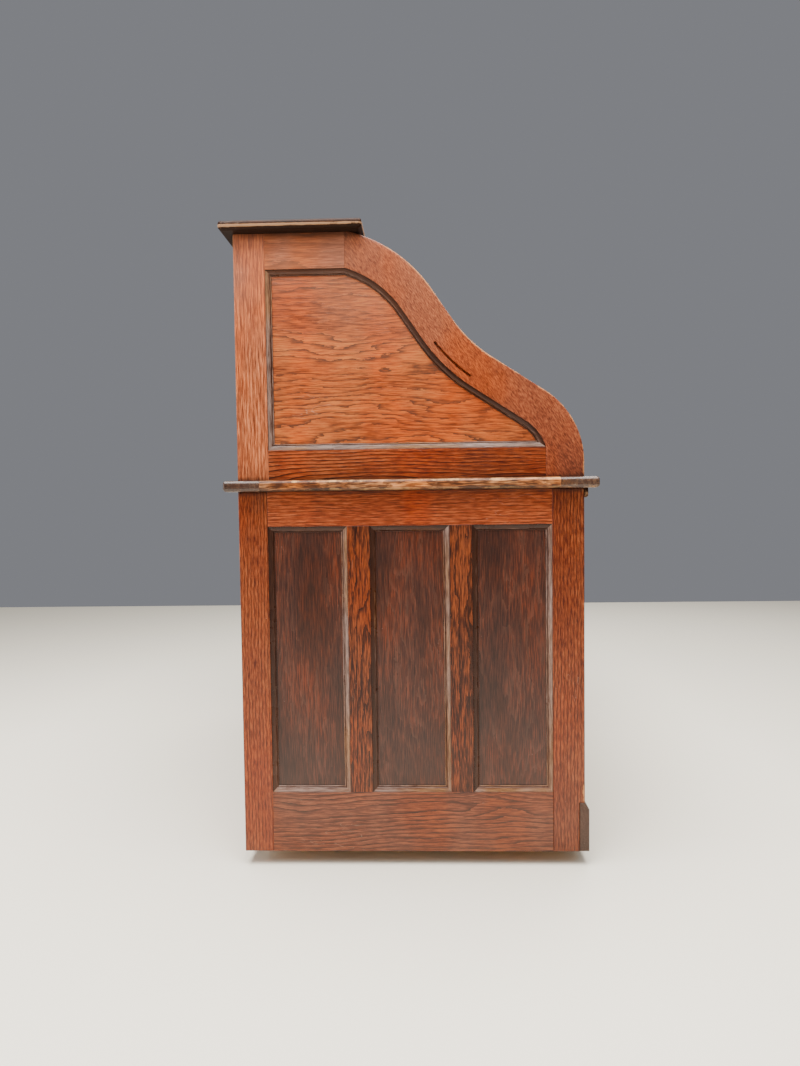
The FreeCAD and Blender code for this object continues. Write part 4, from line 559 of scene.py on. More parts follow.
redOak = dict(dark=(0.085, 0.010, 0.002), middle=(0.235, 0.043, 0.010), light=(0.40, 0.10, 0.028))
# lighter stains for the upper back stiles and the upper ends' head rails than for the wood below them
lighterOak = dict(dark=(0.17, 0.036, 0.012), middle=(0.38, 0.100, 0.034), light=(0.58, 0.20, 0.085))
straightGrain = dict(ringSpacing=0.0065, pithDepth=0.04, pithSide=0.2, wander=0.004, flame=0.03,
                     ragged=0.25)
finishes = {
    # straight-grained stiles, then the boards with a bold sawn figure
    "stileOak": dict(redOak, strength=0.71, specks=0.6, **straightGrain, lines=0.8, fibre=0.95, rings=0.3,
                     fibreWidth=0.6, fibreLength=0.7),
    "frameOak": dict(redOak, strength=0.80, flame=0.12, lines=0.45),
    "muntinOak": dict(strength=0.62, dark=(0.026, 0.005, 0.002), middle=(0.125, 0.026, 0.008),
                      light=(0.33, 0.075, 0.018), line=(0.02, 0.005, 0.002), ringSpacing=0.009,
                      pithDepth=0.022, flame=0.18, ragged=0.4, lines=0.85, rings=0.3, fibre=0.95,
                      cloudy=0.5),
    "lowRailOak": dict(strength=0.74, dark=(0.060, 0.018, 0.010), middle=(0.175, 0.046, 0.022),
                       light=(0.31, 0.090, 0.038), line=(0.030, 0.012, 0.008), ringSpacing=0.0085,
                       pithDepth=0.02, flame=0.16, ragged=0.22, lines=1.0, rings=0.45, fibre=0.85,
                       fibreWidth=0.7, specks=0.5),
    "highRailOak": dict(strength=0.95, dark=(0.10, 0.014, 0.003), middle=(0.26, 0.046, 0.011),
                        light=(0.42, 0.10, 0.03), **straightGrain, lines=0.7, fibre=0.9, rings=0.3,
                        fibreWidth=0.7),
    "footRailOak": dict(strength=0.86, dark=(0.045, 0.006, 0.002), middle=(0.20, 0.033, 0.006),
                        light=(0.40, 0.10, 0.028), line=(0.022, 0.005, 0.002), ringSpacing=0.0070,
                        pithDepth=0.02, pithSide=0.05, wander=0.008, flame=0.08, ragged=0.15, lines=0.95,
                        rings=0.55, fibre=0.5),
    "lighterStile": dict(lighterOak, **straightGrain, lines=0.55, fibre=0.85, rings=0.25, bloomAndSheenAmount=0.35,
                       fibreWidth=0.7, bloomAndSheen=(0.42, 0.23, 0.17)),
    "lighterRail": dict(dark=(0.15, 0.045, 0.022), middle=(0.29, 0.088, 0.042), light=(0.42, 0.15, 0.075),
                      ringSpacing=0.012, pithDepth=0.03, flame=0.2, lines=0.55, rings=0.3,
                      line=(0.13, 0.055, 0.03)),
    "curvedOak": dict(strength=0.80, dark=(0.105, 0.024, 0.012), middle=(0.26, 0.060, 0.024),
                      light=(0.48, 0.14, 0.055), **dict(straightGrain, flame=0.0), lines=0.0, rings=0.0,
                      fibre=0.9, pores=0.55, fibreWidth=0.45, fibreLength=0.3, worn=0.75, toneSpread=0.28,
                      cloudy=0.2),
    "panelDark": dict(strength=0.72, dark=(0.026, 0.008, 0.005), middle=(0.066, 0.018, 0.010),
                      light=(0.175, 0.036, 0.012), line=(0.15, 0.062, 0.038), ringSpacing=0.012,
                      pithDepth=0.06, wander=0.02, flame=0.25, ragged=0.5, coat=0.3, coatRoughness=0.26,
                      worn=0.2, cloudy=0.4, lines=0.32, rings=-0.1, pores=0.0, fibre=0.75, fibreWidth=0.7,
                      fibreLength=1.1, bloomAndSheen=(0.11, 0.062, 0.048), bloomAndSheenAmount=0.5),
    "panelFigured": dict(strength=0.88, dark=(0.12, 0.026, 0.008), middle=(0.40, 0.086, 0.018),
                         light=(0.56, 0.16, 0.036), line=(0.075, 0.030, 0.017), ringSpacing=0.016,
                         pithDepth=0.03, wander=0.016, flame=0.62, ragged=0.42, lines=0.9, rings=0.3,
                         fibre=0.6, fibreWidth=0.8, cloudy=0.35, worn=0.2, coatRoughness=0.24,
                         bloomAndSheenAmount=0.5, bloomAndSheen=(0.36, 0.18, 0.125)),
    "topDark": dict(dark=(0.007, 0.003, 0.002), middle=(0.020, 0.008, 0.005), light=(0.060, 0.025, 0.012),
                    gloss=0.03, corners=0.0, coat=0.03, coatRoughness=0.16, roughness=0.45,
                    bare=(0.36, 0.20, 0.11), worn=1.0, bloomAndSheenAmount=0.0),
    "slabDark": dict(corners=0.0, dark=(0.016, 0.008, 0.006), middle=(0.050, 0.024, 0.015),
                     light=(0.14, 0.07, 0.035), gloss=0.3, coat=0.3, coatRoughness=0.16,
                     bare=(0.42, 0.22, 0.10), worn=0.6, dirty=0.2),
    "slabWorn": dict(corners=0.0, dark=(0.05, 0.016, 0.006), middle=(0.26, 0.095, 0.032),
                     light=(0.60, 0.28, 0.12), coat=0.1, fibre=1.0, cloudy=0.7, rings=0.35, lines=0.6,
                     ringSpacing=0.008, roughness=0.42, worn=0.75, bare=(0.78, 0.42, 0.17), dirty=0.5,
                     line=(0.08, 0.03, 0.012)),
    "plinthDark": dict(dark=(0.018, 0.010, 0.008), middle=(0.05, 0.028, 0.02), light=(0.11, 0.065, 0.045),
                       roughness=0.5, coat=0.1, worn=0.8, dirty=0.5),
    # the moulding's pale end shows where the strips' tones paint dust and light on them
    "mouldOak": dict(dark=(0.010, 0.004, 0.003), middle=(0.050, 0.018, 0.010), light=(0.37, 0.25, 0.21),
                     worn=0.6, corners=0.0, gloss=0.12, coat=0.15, coatRoughness=0.12, roughness=0.3,
                     fibre=0.25, rings=0.0, lines=0.2, cloudy=0.15),
    "tambourOak": dict(redOak, strength=0.82, worn=0.4, flame=0.12, lines=0.4),
    "innerWood": dict(dark=(0.22, 0.13, 0.06), middle=(0.42, 0.27, 0.14), light=(0.58, 0.41, 0.24),
                      coat=0.0, roughness=0.62, worn=0.2, specks=0.0, line=(0.2, 0.11, 0.05),
                      bloomAndSheenAmount=0.0),
    "galleryOak": dict(dark=(0.10, 0.026, 0.008), middle=(0.33, 0.105, 0.032), light=(0.50, 0.19, 0.065),
                       worn=0.4, bloomAndSheenAmount=0.0),
}
oak = {name: oakMaterial(name, **values) for name, values in finishes.items()}
print("materials made:", len(oak))


# Every box-shaped solid of a node as a board, joined into one piece.
def boardsOf(node, material, slot, **options):
    parts = [board(low, high, **options) for low, high in solidBoxes(node)]
    meshObject(node + "_wood", parts, oak[material], "root", (node,))


boardTable = [
    # node, material, slot, options
    ("end_muntins_lower", "muntinOak", "stained_oak", {"along": "z", "wornFaces": (), "tone": -0.5}),
    ("end_panels_lower", "panelDark", "panel_oak", {"along": "z", "wornFaces": (), "tone": -0.9}),
    ("upper_back_stiles", "lighterStile", "stained_oak",
     {"along": "z", "edge": 0.0014, "wornFaces": ("+y",)}),
    ("pedestal_inner_sides", "frameOak", "stained_oak", {"along": "z", "wornFaces": ("-y",)}),
    ("pedestal_backs", "frameOak", "stained_oak", {"along": "z", "tone": -1.2}),
    ("pedestal_bottoms", "innerWood", "inner_wood", {"along": "x"}),
    ("drawer_rails", "frameOak", "stained_oak", {"along": "x", "wornFaces": ("-y",), "wear": 0.5}),
    ("drawer_runners", "innerWood", "inner_wood", {"along": "y"}),
    ("modesty_panel", "frameOak", "stained_oak", {"along": "x"}),
    ("foot_blocks", "innerWood", "inner_wood", {"along": "x", "edge": 0.003}),
    ("upper_back_panels", "panelDark", "panel_oak", {"along": "z", "wornFaces": ()}),
    ("gallery_dividers", "galleryOak", "gallery_oak", {"along": "z", "edge": 0.0012}),
]
for node, material, slotName, options in boardTable:
    boardsOf(node, material, slotName, **options)


# Each corner of a closed outline moved inwards by inset along both of its sides: corner + inset * (n1 + n2)
# / (1 + n1 . n2), where n1 and n2 are the inward normals of the sides that meet there.
def mitred(outline, inset):
    sides = np.roll(outline, -1, 0) - outline
    inward = np.stack([-sides[:, 1], sides[:, 0]], 1) / np.linalg.norm(sides, axis=1)[:, None]
    before = np.roll(inward, 1, 0)
    return outline + inset * (before + inward) / (1 + (before * inward).sum(1))[:, None]


# A counter-clockwise (y, z) outline carried along X, bevelled by edge at both ends: four rings, the outer
# two drawn in by edge. Its foremost face is worn, most at the bevels.
def prism(outline, x0, x1, along="z", edge=0.0014, worn=1.0, tone=None, grime=0.0):
    outline = np.asarray(outline, float)
    rings = np.zeros((4, len(outline), 3))
    rings[..., 0] = np.array([x0, x0 + edge, x1 - edge, x1])[:, None]
    rings[[0, 3], :, 1:], rings[[1, 2], :, 1:] = mitred(outline, edge), outline
    front = (outline[:, 0] < outline[:, 0].min() + 0.001) * np.array([1, 0.35, 0.35, 1])[:, None]
    axes = {"z": ((0, 0, 1), (0, 1, 0), (1, 0, 0)), "x": ((1, 0, 0), (0, 1, 0), (0, 0, 1))}[along]
    return sweptRing(rings, *axes, worn=worn * front, tone=tone, grime=grime)


# The gallery's case: ends full height, floor, top and shelves between them, and a thin back over all.
galleryMake = {"board": 0.010, "back": 0.006, "edge": 0.0012}
shell, *shelves = sorted(solidBoxes("gallery_case"), key=lambda pair: pair[0][2])
low, high = shell
boardThick, backIn = galleryMake["board"], high[1] - galleryMake["back"]
insides = (low[0] + boardThick, high[0] - boardThick)
caseBoards = [
    (low, (insides[0], backIn, high[2]), "z"),
    ((insides[1], low[1], low[2]), (high[0], backIn, high[2]), "z"),
    ((insides[0], low[1], low[2]), (insides[1], backIn, low[2] + boardThick), "x"),
    ((insides[0], low[1], high[2] - boardThick), (insides[1], backIn, high[2]), "x"),
    ((low[0], backIn, low[2]), high, "x"),
]
caseBoards += [(a, b, "x") for a, b in shelves]
caseParts = boardsFrom(caseBoards, edge=galleryMake["edge"], wornFaces=("-y",))
meshObject("gallery_case_wood", caseParts, oak["galleryOak"], "root", ("gallery_case",))

# The upper back's frame: two rails across, and stiles between them beside each panel.
backFrame = {"rail": 0.065, "panels": 4, "edge": 0.0012}
low, high = boxOf("upper_back_frame")
rail = backFrame["rail"]
step = (high[0] - low[0] - rail) / backFrame["panels"]
frameBoards = [(low, (high[0], high[1], low[2] + rail), "x"), ((low[0], low[1], high[2] - rail), high, "x")]
frameBoards += [((x, low[1], low[2] + rail), (x + rail, high[1], high[2] - rail), "z")
                for x in low[0] + step * np.arange(backFrame["panels"] + 1)]
meshObject("upper_back_frame_wood", boardsFrom(frameBoards, edge=backFrame["edge"], wornFaces=()),
           oak["frameOak"], "root", ("upper_back_frame",))


# The front stiles are notched for the plinths, which stand out past them and are chamfered on top.
caseFoot = {"low": 0.030, "plinthTop": 0.129, "plinthBack": -0.331, "slope": 0.014, "edge": 0.0014,
            "plinthEdge": 0.002}
stiles, plinths = [], []
for low, high in solidBoxes("end_stiles_lower"):
    if low[1] > 0:
        stiles.append(board(low, high, "z", edge=caseFoot["edge"], wornFaces=("+y",), tone=0.2))
    else:
        y0, y1, z1, notch, top = low[1], high[1], high[2], caseFoot["plinthBack"], caseFoot["plinthTop"]
        outline = [(notch, caseFoot["low"]), (y1, caseFoot["low"]), (y1, z1), (y0, z1), (y0, top),
                   (notch, top)]
        stiles.append(prism(outline, low[0], high[0], edge=caseFoot["edge"], tone=-0.9))
        caseFront = y0
meshObject("end_stiles_lower_wood", stiles, oak["stileOak"], "root", ("end_stiles_lower",))
for low, high in solidBoxes("front_plinths"):
    outline = [(low[1], low[2]), (high[1], low[2]), (high[1], high[2]), (caseFront, high[2]),
               (low[1], high[2] - caseFoot["slope"])]
    plinths.append(prism(outline, low[0], high[0], "x", edge=caseFoot["plinthEdge"], worn=0.6, grime=0.25))
meshObject("front_plinths_wood", plinths, oak["plinthDark"], "root", ("front_plinths",))

# the rails of the two framed ends; those below the split height have the first finish
for node, split, lowFinish, highFinish in (("end_rails_lower", 0.4, "lowRailOak", "highRailOak"),
                                           ("upper_end_rails", 1.0, "footRailOak", "lighterRail")):
    rails = {lowFinish: [], highFinish: []}
    for low, high in solidBoxes(node):
        finish = lowFinish if low[2] < split else highFinish
        rails[finish].append(board(low, high, "y", wornFaces=(), tone=0.0))
    meshObject(node + "_low_wood", rails[lowFinish], oak[lowFinish], "root", (node,))
    meshObject(node + "_high_wood", rails[highFinish], oak[highFinish], "root", ())
print("boards, frames and plinths made")


curve = {
    "startY": -0.342, "startZ": 0.780, "heading": 90.0,
    # length and turn in degrees of each step, a straight where the turn is 0; right turns are negative
    "steps": [(0.030, 0), (0.167, -57.0), (0.123, 0), (0.2735, 22.6), (0.073, 0), (0.279, -55.6),
              (0.0346, 0), (0.110, -90.0), (0.3832, 0)],
    "stileWide": 0.070, "topZ": 1.264, "topJoint": 0.12304, "footJoint": -0.26724, "sillZ": 0.840,
    "headZ": 1.194, "backIn": 0.281, "innerX": 0.634, "outerX": 0.658, "trackIn": 0.020,
    "grooveWide": 0.008, "grooveDeep": 0.008, "slotIn": 0.0545, "slotFrom": 0.279, "slotLong": 0.100,
    "slotWide": 0.005, "slotDeep": 0.0075, "edge": 0.0013, "flank": 0.005, "stileLong": 0.755,
    "openingLong": 0.80, "toneHeights": (0.74, 0.86, 1.0, 1.18), "tones": (-0.9, -0.5, 0.25, 0.45),
}


# Begin, place, heading, radius and turn sense of each step of the curve. An arc turns about a centre one
# radius to its side, and a straight goes its length along the heading.
def curveTable():
    rows, y, z, angle, along = [], curve["startY"], curve["startZ"], math.radians(curve["heading"]), 0.0
    for size, turn in curve["steps"]:
        sense = (turn > 0) - (turn < 0)
        length = abs(math.radians(turn)) * size if turn else size
        rows.append((along, y, z, angle, size, sense))
        if sense:
            cy, cz = y - sense * size * math.sin(angle), z + sense * size * math.cos(angle)
            angle += math.radians(turn)
            y, z = cy + sense * size * math.sin(angle), cz - sense * size * math.cos(angle)
        else:
            y, z = y + size * math.cos(angle), z + size * math.sin(angle)
        along += length
    return np.array(rows), along


curveRows, curveLength = curveTable()


# Points at distances along the curve, stepped inwards: arcs about their centres, straights by their heading.
def curveAt(along, inward):
    along, inward = np.broadcast_arrays(np.asarray(along, float), np.asarray(inward, float))
    step = np.clip(np.searchsorted(curveRows[:, 0], along, side="right") - 1, 0, len(curveRows) - 1)
    begin, y, z, angle, size, sense = (curveRows[step, i] for i in range(6))
    gone = along - begin
    end = angle + sense * gone / size
    straight = sense == 0
    py = np.where(straight, y + gone * np.cos(angle),
                  y - sense * size * np.sin(angle) + sense * size * np.sin(end))
    pz = np.where(straight, z + gone * np.sin(angle),
                  z + sense * size * np.cos(angle) - sense * size * np.cos(end))
    end = np.where(straight, angle, end)
    return py + inward * np.sin(end), pz - inward * np.cos(end), end


# Distance along the curve at a distance along a line that runs parallel to it, set inwards: the parallel
# line's length is summed over small steps and read the other way round.
def alongCurve(distance, inward):
    s = np.linspace(0, curveLength, 6000)
    y, z, _ = curveAt(s, inward)
    run = np.concatenate([[0], np.cumsum(np.hypot(np.diff(y), np.diff(z)))])
    return np.interp(distance, run, s)


# A closed profile across the stile (offset from the curve, distance out) carried along the curve. The long
# slot is a dip in the profile's outer face that opens and closes over its length.
def curvedStile(side):
    c = curve
    x0, x1, wide, r, flank = (c[key] for key in ("innerX", "outerX", "stileWide", "edge", "flank"))
    turns = np.radians([0, 30, 60, 90])
    grooveLow, grooveHigh = c["trackIn"] - c["grooveWide"] / 2, c["trackIn"] + c["grooveWide"] / 2
    half = c["slotWide"] / 2
    offs, outs, worn, dips = [], [], [], []

    def add(o, x, w=0.0, dip=0.0):
        offs.append(o)
        outs.append(x)
        worn.append(w)
        dips.append(dip)

    add(flank + r, x0)
    for t in turns:
        add(r * (1 - math.sin(t)), x0 + r * (1 - math.cos(t)), 1.0)
    add(0.0, x0 + flank)
    add(0.0, x1 - flank)
    for t in turns[::-1]:
        add(r * (1 - math.sin(t)), x1 - r * (1 - math.cos(t)), 1.0)
    add(flank + r, x1)
    add(0.022, x1)
    add(0.038, x1)
    middle = c["slotIn"]
    for o, dip in ((-1.9, 0), (-1.06, 0), (-1.0, 0.06), (-0.94, 1), (-0.3, 1), (0.3, 1), (0.94, 1),
                   (1.0, 0.06), (1.06, 0), (1.9, 0)):
        add(middle + half * o, x1, 0.35 if 0 < dip < 1 or abs(abs(o) - 1.06) < 0.01 else 0.0, dip)
    add(wide - flank - r, x1)
    for t in turns:
        add(wide - r * (1 - math.sin(t)), x1 - r * (1 - math.cos(t)), 0.15)
    add(wide, x1 - flank)
    add(wide, x0 + 0.001)
    add(wide - 0.001, x0)
    add(0.045, x0)
    add(grooveHigh, x0)
    add(grooveHigh, x0 + c["grooveDeep"])
    add(grooveLow, x0 + c["grooveDeep"])
    add(grooveLow, x0)
    offs, outs, worn, dips = map(np.array, (offs, outs, worn, dips))
    slotStart, slotStop = alongCurve([c["slotFrom"], c["slotFrom"] + c["slotLong"]], middle)
    base = np.linspace(0, c["stileLong"], 190)
    near = np.concatenate([spot + np.linspace(-0.0032, 0.0032, 17) for spot in (slotStart, slotStop)])
    s = np.unique(np.concatenate([base, near]))[:, None]
    # the slot's ends are half round: its half width at a place is a circle's chord
    reach = np.minimum(s - slotStart, slotStop - s)
    chord = np.sqrt(np.clip(1 - np.clip(1 - reach / half, 0, 1) ** 2, 0, 1)) * (reach > 0)
    isSlot = (np.abs(offs - middle) < half * 1.2)[None]
    off = np.where(isSlot, middle + (offs - middle)[None] * np.maximum(chord, 0.02), offs[None])
    out = outs[None] - c["slotDeep"] * dips[None] * (chord > 0.02)
    y, z, _ = curveAt(s, off)
    low = z < c["sillZ"]
    innerEdge = (offs > wide - flank)[None]
    y = np.where(low & innerEdge, c["footJoint"] - (wide - off), y)
    z = np.minimum(z, c["topZ"])
    y = np.minimum(y, c["topJoint"])
    rings = np.stack([side * out, y, z], -1)
    part = sweptRing(rings, (0, 1, 0), (0, 0, 1), (1, 0, 0), worn=worn[None])
    # short diagonal grain: the stile is sawn from a wide board, so its grain keeps one direction
    lean = math.radians(58)
    part["grainPlace"] = grainOf(part["verts"], (0, math.cos(lean), math.sin(lean)),
                                 (0, -math.sin(lean), math.cos(lean)), (1, 0, 0))
    # the stile's colour runs darker towards the foot and lighter towards the top
    part["tone"] = np.interp(part["verts"][:, 2], c["toneHeights"], c["tones"])
    return part


meshObject("curved_stiles_wood", [curvedStile(-1), curvedStile(1)], oak["curvedOak"], "root",
           ("curved_stiles",))


endPanel = {"inFrame": 0.006, "innerX": 0.642, "outerX": 0.650}


# The thin panel behind the curved opening: a closed outline along the curve, a little way into the frame
# all round.
def upperPanel(side):
    c, grow = curve, endPanel["inFrame"]
    s = np.linspace(0.0, curveLength, 3000)
    y, z, _ = curveAt(s, c["stileWide"] - grow)
    keep = (z > c["sillZ"] - grow) & (z < c["headZ"] + grow) & (y < c["backIn"]) & (s < c["openingLong"])
    y, z = y[keep][::12], z[keep][::12]
    outlineY = np.concatenate([y, [c["backIn"] + grow, c["backIn"] + grow, y[0]]])
    outlineZ = np.concatenate([z, [c["headZ"] + grow, c["sillZ"] - grow, c["sillZ"] - grow]])
    rings = np.stack([np.stack([np.full(len(outlineY), side * x), outlineY, outlineZ], -1)
                      for x in (endPanel["innerX"], endPanel["outerX"])])
    return sweptRing(rings, (0, 1, 0), (0, 0, 1), (1, 0, 0))


meshObject("upper_end_panels_wood", [upperPanel(-1), upperPanel(1)], oak["panelFigured"], "root",
           ("upper_end_panels",))


# tones, painted light and shade by the way each strip faces: the strip that looks up is paled by dust and by
# painted light from above, the one that looks back carries a painted highlight, and the others are painted
# in shade
moulding = {"wide": 0.012, "deep": 0.008, "panelX": 0.650, "tones": (2.9, -2.0, -2.0, 2.6)}


# Distance in from the frame and height over the panel: a lip, a dark quirk, a quarter-round slope and a bead.
def mouldingProfile():
    w, d = moulding["wide"], moulding["deep"]
    t = np.linspace(0, 1, 8)
    slopeW = 0.0012 + (w - 0.0040) * np.sin(t * math.pi / 2) ** 0.8
    slopeH = 0.0024 + (d - 0.0034) * (1 - t) ** 0.85
    turn = np.radians(np.linspace(150, 0, 7))
    beadW, beadH = w - 0.0014 + 0.0013 * np.cos(turn), 0.0012 + 0.0013 * np.sin(turn)
    # the lip and quirk, then the slope, the bead, and the two corners at the back
    ins = np.concatenate([[0, 0.0004, 0.0010], slopeW, beadW, [w, 0]])
    ups = np.concatenate([[d - 0.0006, d - 0.0002, d - 0.0003], slopeH, beadH, [0, 0]])
    worn = np.concatenate([[0.2, 0.2, 0.2], 0.2 * t, 0.6 * np.sin(turn), [0, 0]])
    # painted shade in the profile's recesses: darkest in the quirk, in the crease before the bead, where the
    # bead meets the panel and at the back, lighter on the lip and fading down the slope
    grime = np.concatenate([[0.3, 0.3, 0.9], 0.25 * (1 - t), [0.9, 0.2, 0, 0, 0, 0.2, 0.7], [0.8, 0.8]])
    # how much of the strip's tone shows across the profile, so the painted light and shade lie mostly on the
    # lip, the upper slope and the bead's crown
    toneShare = np.concatenate([[1, 1, 1], np.clip(1.2 - 1.5 * t, -0.1, 1), 0.1 + 0.6 * np.sin(turn), [0, 0]])
    return ins, ups, worn, grime, toneShare


mouldIn, mouldUp, mouldWorn, mouldShade, mouldToneShare = mouldingProfile()


# A mitred moulding between two (y, z) end lines, each given for every point of the profile.
def strip(side, first, last, tone):
    x = side * (moulding["panelX"] + mouldUp)
    rings = np.stack([np.stack([x, y, z], -1) for y, z in (first, last)])
    across = abs(float(last[0][0] - first[0][0])) > abs(float(last[1][0] - first[1][0]))
    along = (0, 1, 0) if across else (0, 0, 1)
    width = (0, 0, 1) if across else (0, 1, 0)
    return sweptRing(rings, along, width, (1, 0, 0), worn=mouldWorn[None], tone=tone * mouldToneShare[None],
                     grime=mouldShade[None])


# Four strips round an opening: foot, back, head and front.
def rectStrips(side, y0, y1, z0, z1):
    w = mouldIn
    corner = [(y0 + w, z0 + w), (y1 - w, z0 + w), (y1 - w, z1 - w), (y0 + w, z1 - w)]
    return [strip(side, corner[i], corner[(i + 1) % 4], tone)
            for i, tone in enumerate(moulding["tones"])]


# The four strips round the upper opening; the curved one keeps to the curve between its two mitres.
def curvedStrips(side):
    c = curve
    s = np.linspace(0.02, c["openingLong"], 4000)
    climb = slice(0, 2600)  # the curve only climbs as far as this, so the sill is met once
    startS, stopS = [], []
    for w in mouldIn:
        y, z, _ = curveAt(s, c["stileWide"] + w)
        startS.append(np.interp(c["sillZ"] + w, z[climb], s[climb]))
        rising = np.maximum.accumulate(z)
        stopS.append(s[np.searchsorted(rising, c["headZ"] - w)])
    startS, stopS = np.array(startS), np.array(stopS)
    t = np.linspace(0, 1, 110)[:, None]
    y, z, _ = curveAt(startS + (stopS - startS) * t, c["stileWide"] + mouldIn[None])
    rings = np.stack([np.broadcast_to(side * (moulding["panelX"] + mouldUp), y.shape), y, z], -1)
    footTone, _, headTone, backTone = moulding["tones"]
    curvedOne = sweptRing(rings, (0, 0.75, 0.66), (0, -0.66, 0.75), (1, 0, 0), worn=mouldWorn[None],
                          tone=headTone * mouldToneShare[None], grime=mouldShade[None])
    foot, head = (y[0], z[0]), (y[-1], z[-1])
    backLow = (c["backIn"] - mouldIn, c["sillZ"] + mouldIn)
    backHigh = (c["backIn"] - mouldIn, c["headZ"] - mouldIn)
    return [curvedOne, strip(side, foot, backLow, footTone), strip(side, backLow, backHigh, backTone),
            strip(side, backHigh, head, headTone)]


lowerOpenings = {"low": 0.151, "high": 0.688, "first": -0.279, "wide": 0.158, "step": 0.203}
strips = []
for side in (-1, 1):
    for index in range(3):
        y0 = lowerOpenings["first"] + lowerOpenings["step"] * index
        strips += rectStrips(side, y0, y0 + lowerOpenings["wide"], lowerOpenings["low"],
                             lowerOpenings["high"])
    strips += curvedStrips(side)
meshObject("panel_mouldings_wood", strips, oak["mouldOak"], "root", ("panel_mouldings",))
print("curved stiles, upper panels and mouldings made")


# A board with a wide rounded nose on the named sides, such as "-x", and a tight edge on the others. Plan
# rings are drawn in by radius*(1-sin a) on the nosed sides while the level drops by radius*(1-cos a).
def nosedBoard(low, high, along, nose, radius, tight=0.0006, tone=None, steps=7, corner=0.004):
    low, high = np.asarray(low, float), np.asarray(high, float)
    thick = high[2] - low[2]
    radius = min(radius, thick / 2)
    flank = 0.006
    reach = {key: (radius if key in nose else tight) for key in ("+x", "-x", "+y", "-y")}
    turns = np.radians(np.linspace(0, 90, steps))
    plan = []
    for cornerIndex, (sx, sy) in enumerate(((1, 1), (-1, 1), (-1, -1), (1, -1))):
        rx, ry = reach["+x" if sx > 0 else "-x"], reach["+y" if sy > 0 else "-y"]
        rc = min(rx, ry, corner)
        cx = (high[0] - rc) if sx > 0 else (low[0] + rc)
        cy = (high[1] - rc) if sy > 0 else (low[1] + rc)
        angle = np.radians([0, 30, 60, 90]) + math.radians(90 * cornerIndex)
        xs, ys = cx + rc * np.cos(angle), cy + rc * np.sin(angle)
        flankX, flankY = cx - sx * flank, cy - sy * flank
        if cornerIndex % 2 == 0:
            xs, ys = [cx + sx * rc, *xs, flankX], [flankY, *ys, cy + sy * rc]
        else:
            xs, ys = [flankX, *xs, cx + sx * rc], [cy + sy * rc, *ys, flankY]
        nx = [sx if cornerIndex % 2 == 0 else 0, *np.cos(angle), 0 if cornerIndex % 2 == 0 else sx]
        ny = [0 if cornerIndex % 2 == 0 else sy, *np.sin(angle), sy if cornerIndex % 2 == 0 else 0]
        plan += list(zip(xs, ys, nx, ny))
    px, py, nx, ny = (np.array(column) for column in zip(*plan))
    rings = [(flank, 0.0, 0.0, 0.0)] + [(0.0, radius * (1 - math.cos(t)), t, 1.0) for t in turns]
    rings += [(0.0, thick - d, math.pi - t, w) for _, d, t, w in reversed(rings[1:])]
    rings += [(flank, thick, math.pi, 0.0)]
    extra, down, turn, worn = (np.array(column)[:, None] for column in zip(*rings))
    unit = 1 - np.sin(turn)
    verts = np.zeros((len(rings), len(px), 3))
    verts[..., 0] = np.clip(px, low[0] + unit * reach["-x"] + extra, high[0] - unit * reach["+x"] - extra)
    verts[..., 1] = np.clip(py, low[1] + unit * reach["-y"] + extra, high[1] - unit * reach["+y"] - extra)
    verts[..., 2] = high[2] - down
    normals = np.zeros_like(verts)
    normals[..., 0], normals[..., 1] = nx * np.sin(turn), ny * np.sin(turn)
    normals[..., 2] = np.cos(turn) * np.ones(len(px))
    noseSide = np.zeros(len(px))
    for key, mask in (("+x", nx > 0.5), ("-x", nx < -0.5), ("+y", ny > 0.5), ("-y", ny < -0.5)):
        if key in nose:
            noseSide = np.maximum(noseSide, mask * 1.0)
    count = len(px)
    alongAxis = "xyz".index(along)
    eye = np.eye(3)
    flat = verts.reshape(-1, 3)
    wornAll = worn * (0.35 + 0.65 * noseSide[None]) * (0.45 + 0.55 * np.abs(np.sin(2 * turn)))
    return {
        "verts": flat, "quads": gridQuads(len(rings), count)[:, ::-1],
        "caps": [np.arange(count), np.arange(count)[::-1] + (len(rings) - 1) * count],
        "normals": normals.reshape(-1, 3),
        "grainPlace": grainOf(flat - (low + high) / 2, eye[alongAxis], eye[1 - alongAxis], eye[2]),
        "worn": wornAll.ravel(), "tone": np.full(len(flat), rng.uniform(-1, 1) if tone is None else tone),
        "grime": np.zeros(len(flat)),
    }


tops = {"halfWide": 0.686, "halfDeep": 0.367, "slabLow": 0.758, "slabHigh": 0.780, "noseRadius": 0.008,
        "railFront": -0.292, "railBack": 0.295, "cleatWide": 0.060, "boardNose": 0.0093,
        "boardCorner": 0.008, "fieldEdge": 0.0006}
w, d = tops["halfWide"], tops["halfDeep"]
lowZ, highZ = tops["slabLow"], tops["slabHigh"]
frontRail = nosedBoard((-w, -d, lowZ), (w, tops["railFront"], highZ), "x", ("-x", "+x", "-y"),
                       tops["noseRadius"])
backRail = nosedBoard((-w, tops["railBack"], lowZ), (w, d, highZ), "x", ("-x", "+x", "+y"),
                      tops["noseRadius"])
meshObject("writing_top_rails_wood", [frontRail, backRail], oak["slabDark"], "root", ("writing_top_rails",))
cleats = []
for side in (-1, 1):
    inner, outer = side * (w - tops["cleatWide"]), side * w
    cleat = nosedBoard((min(inner, outer), tops["railFront"], lowZ),
                       (max(inner, outer), tops["railBack"], highZ), "y", ("+x",) if side > 0 else ("-x",),
                       tops["noseRadius"])
    # black dirt has gathered along the lower edge
    cleat["grime"] = np.interp(cleat["verts"][:, 2] - lowZ, [0, 0.003, 0.008, 0.018, 0.022],
                               [0.85, 0.6, 0.1, 0.0, 0.25])
    cleats.append(cleat)
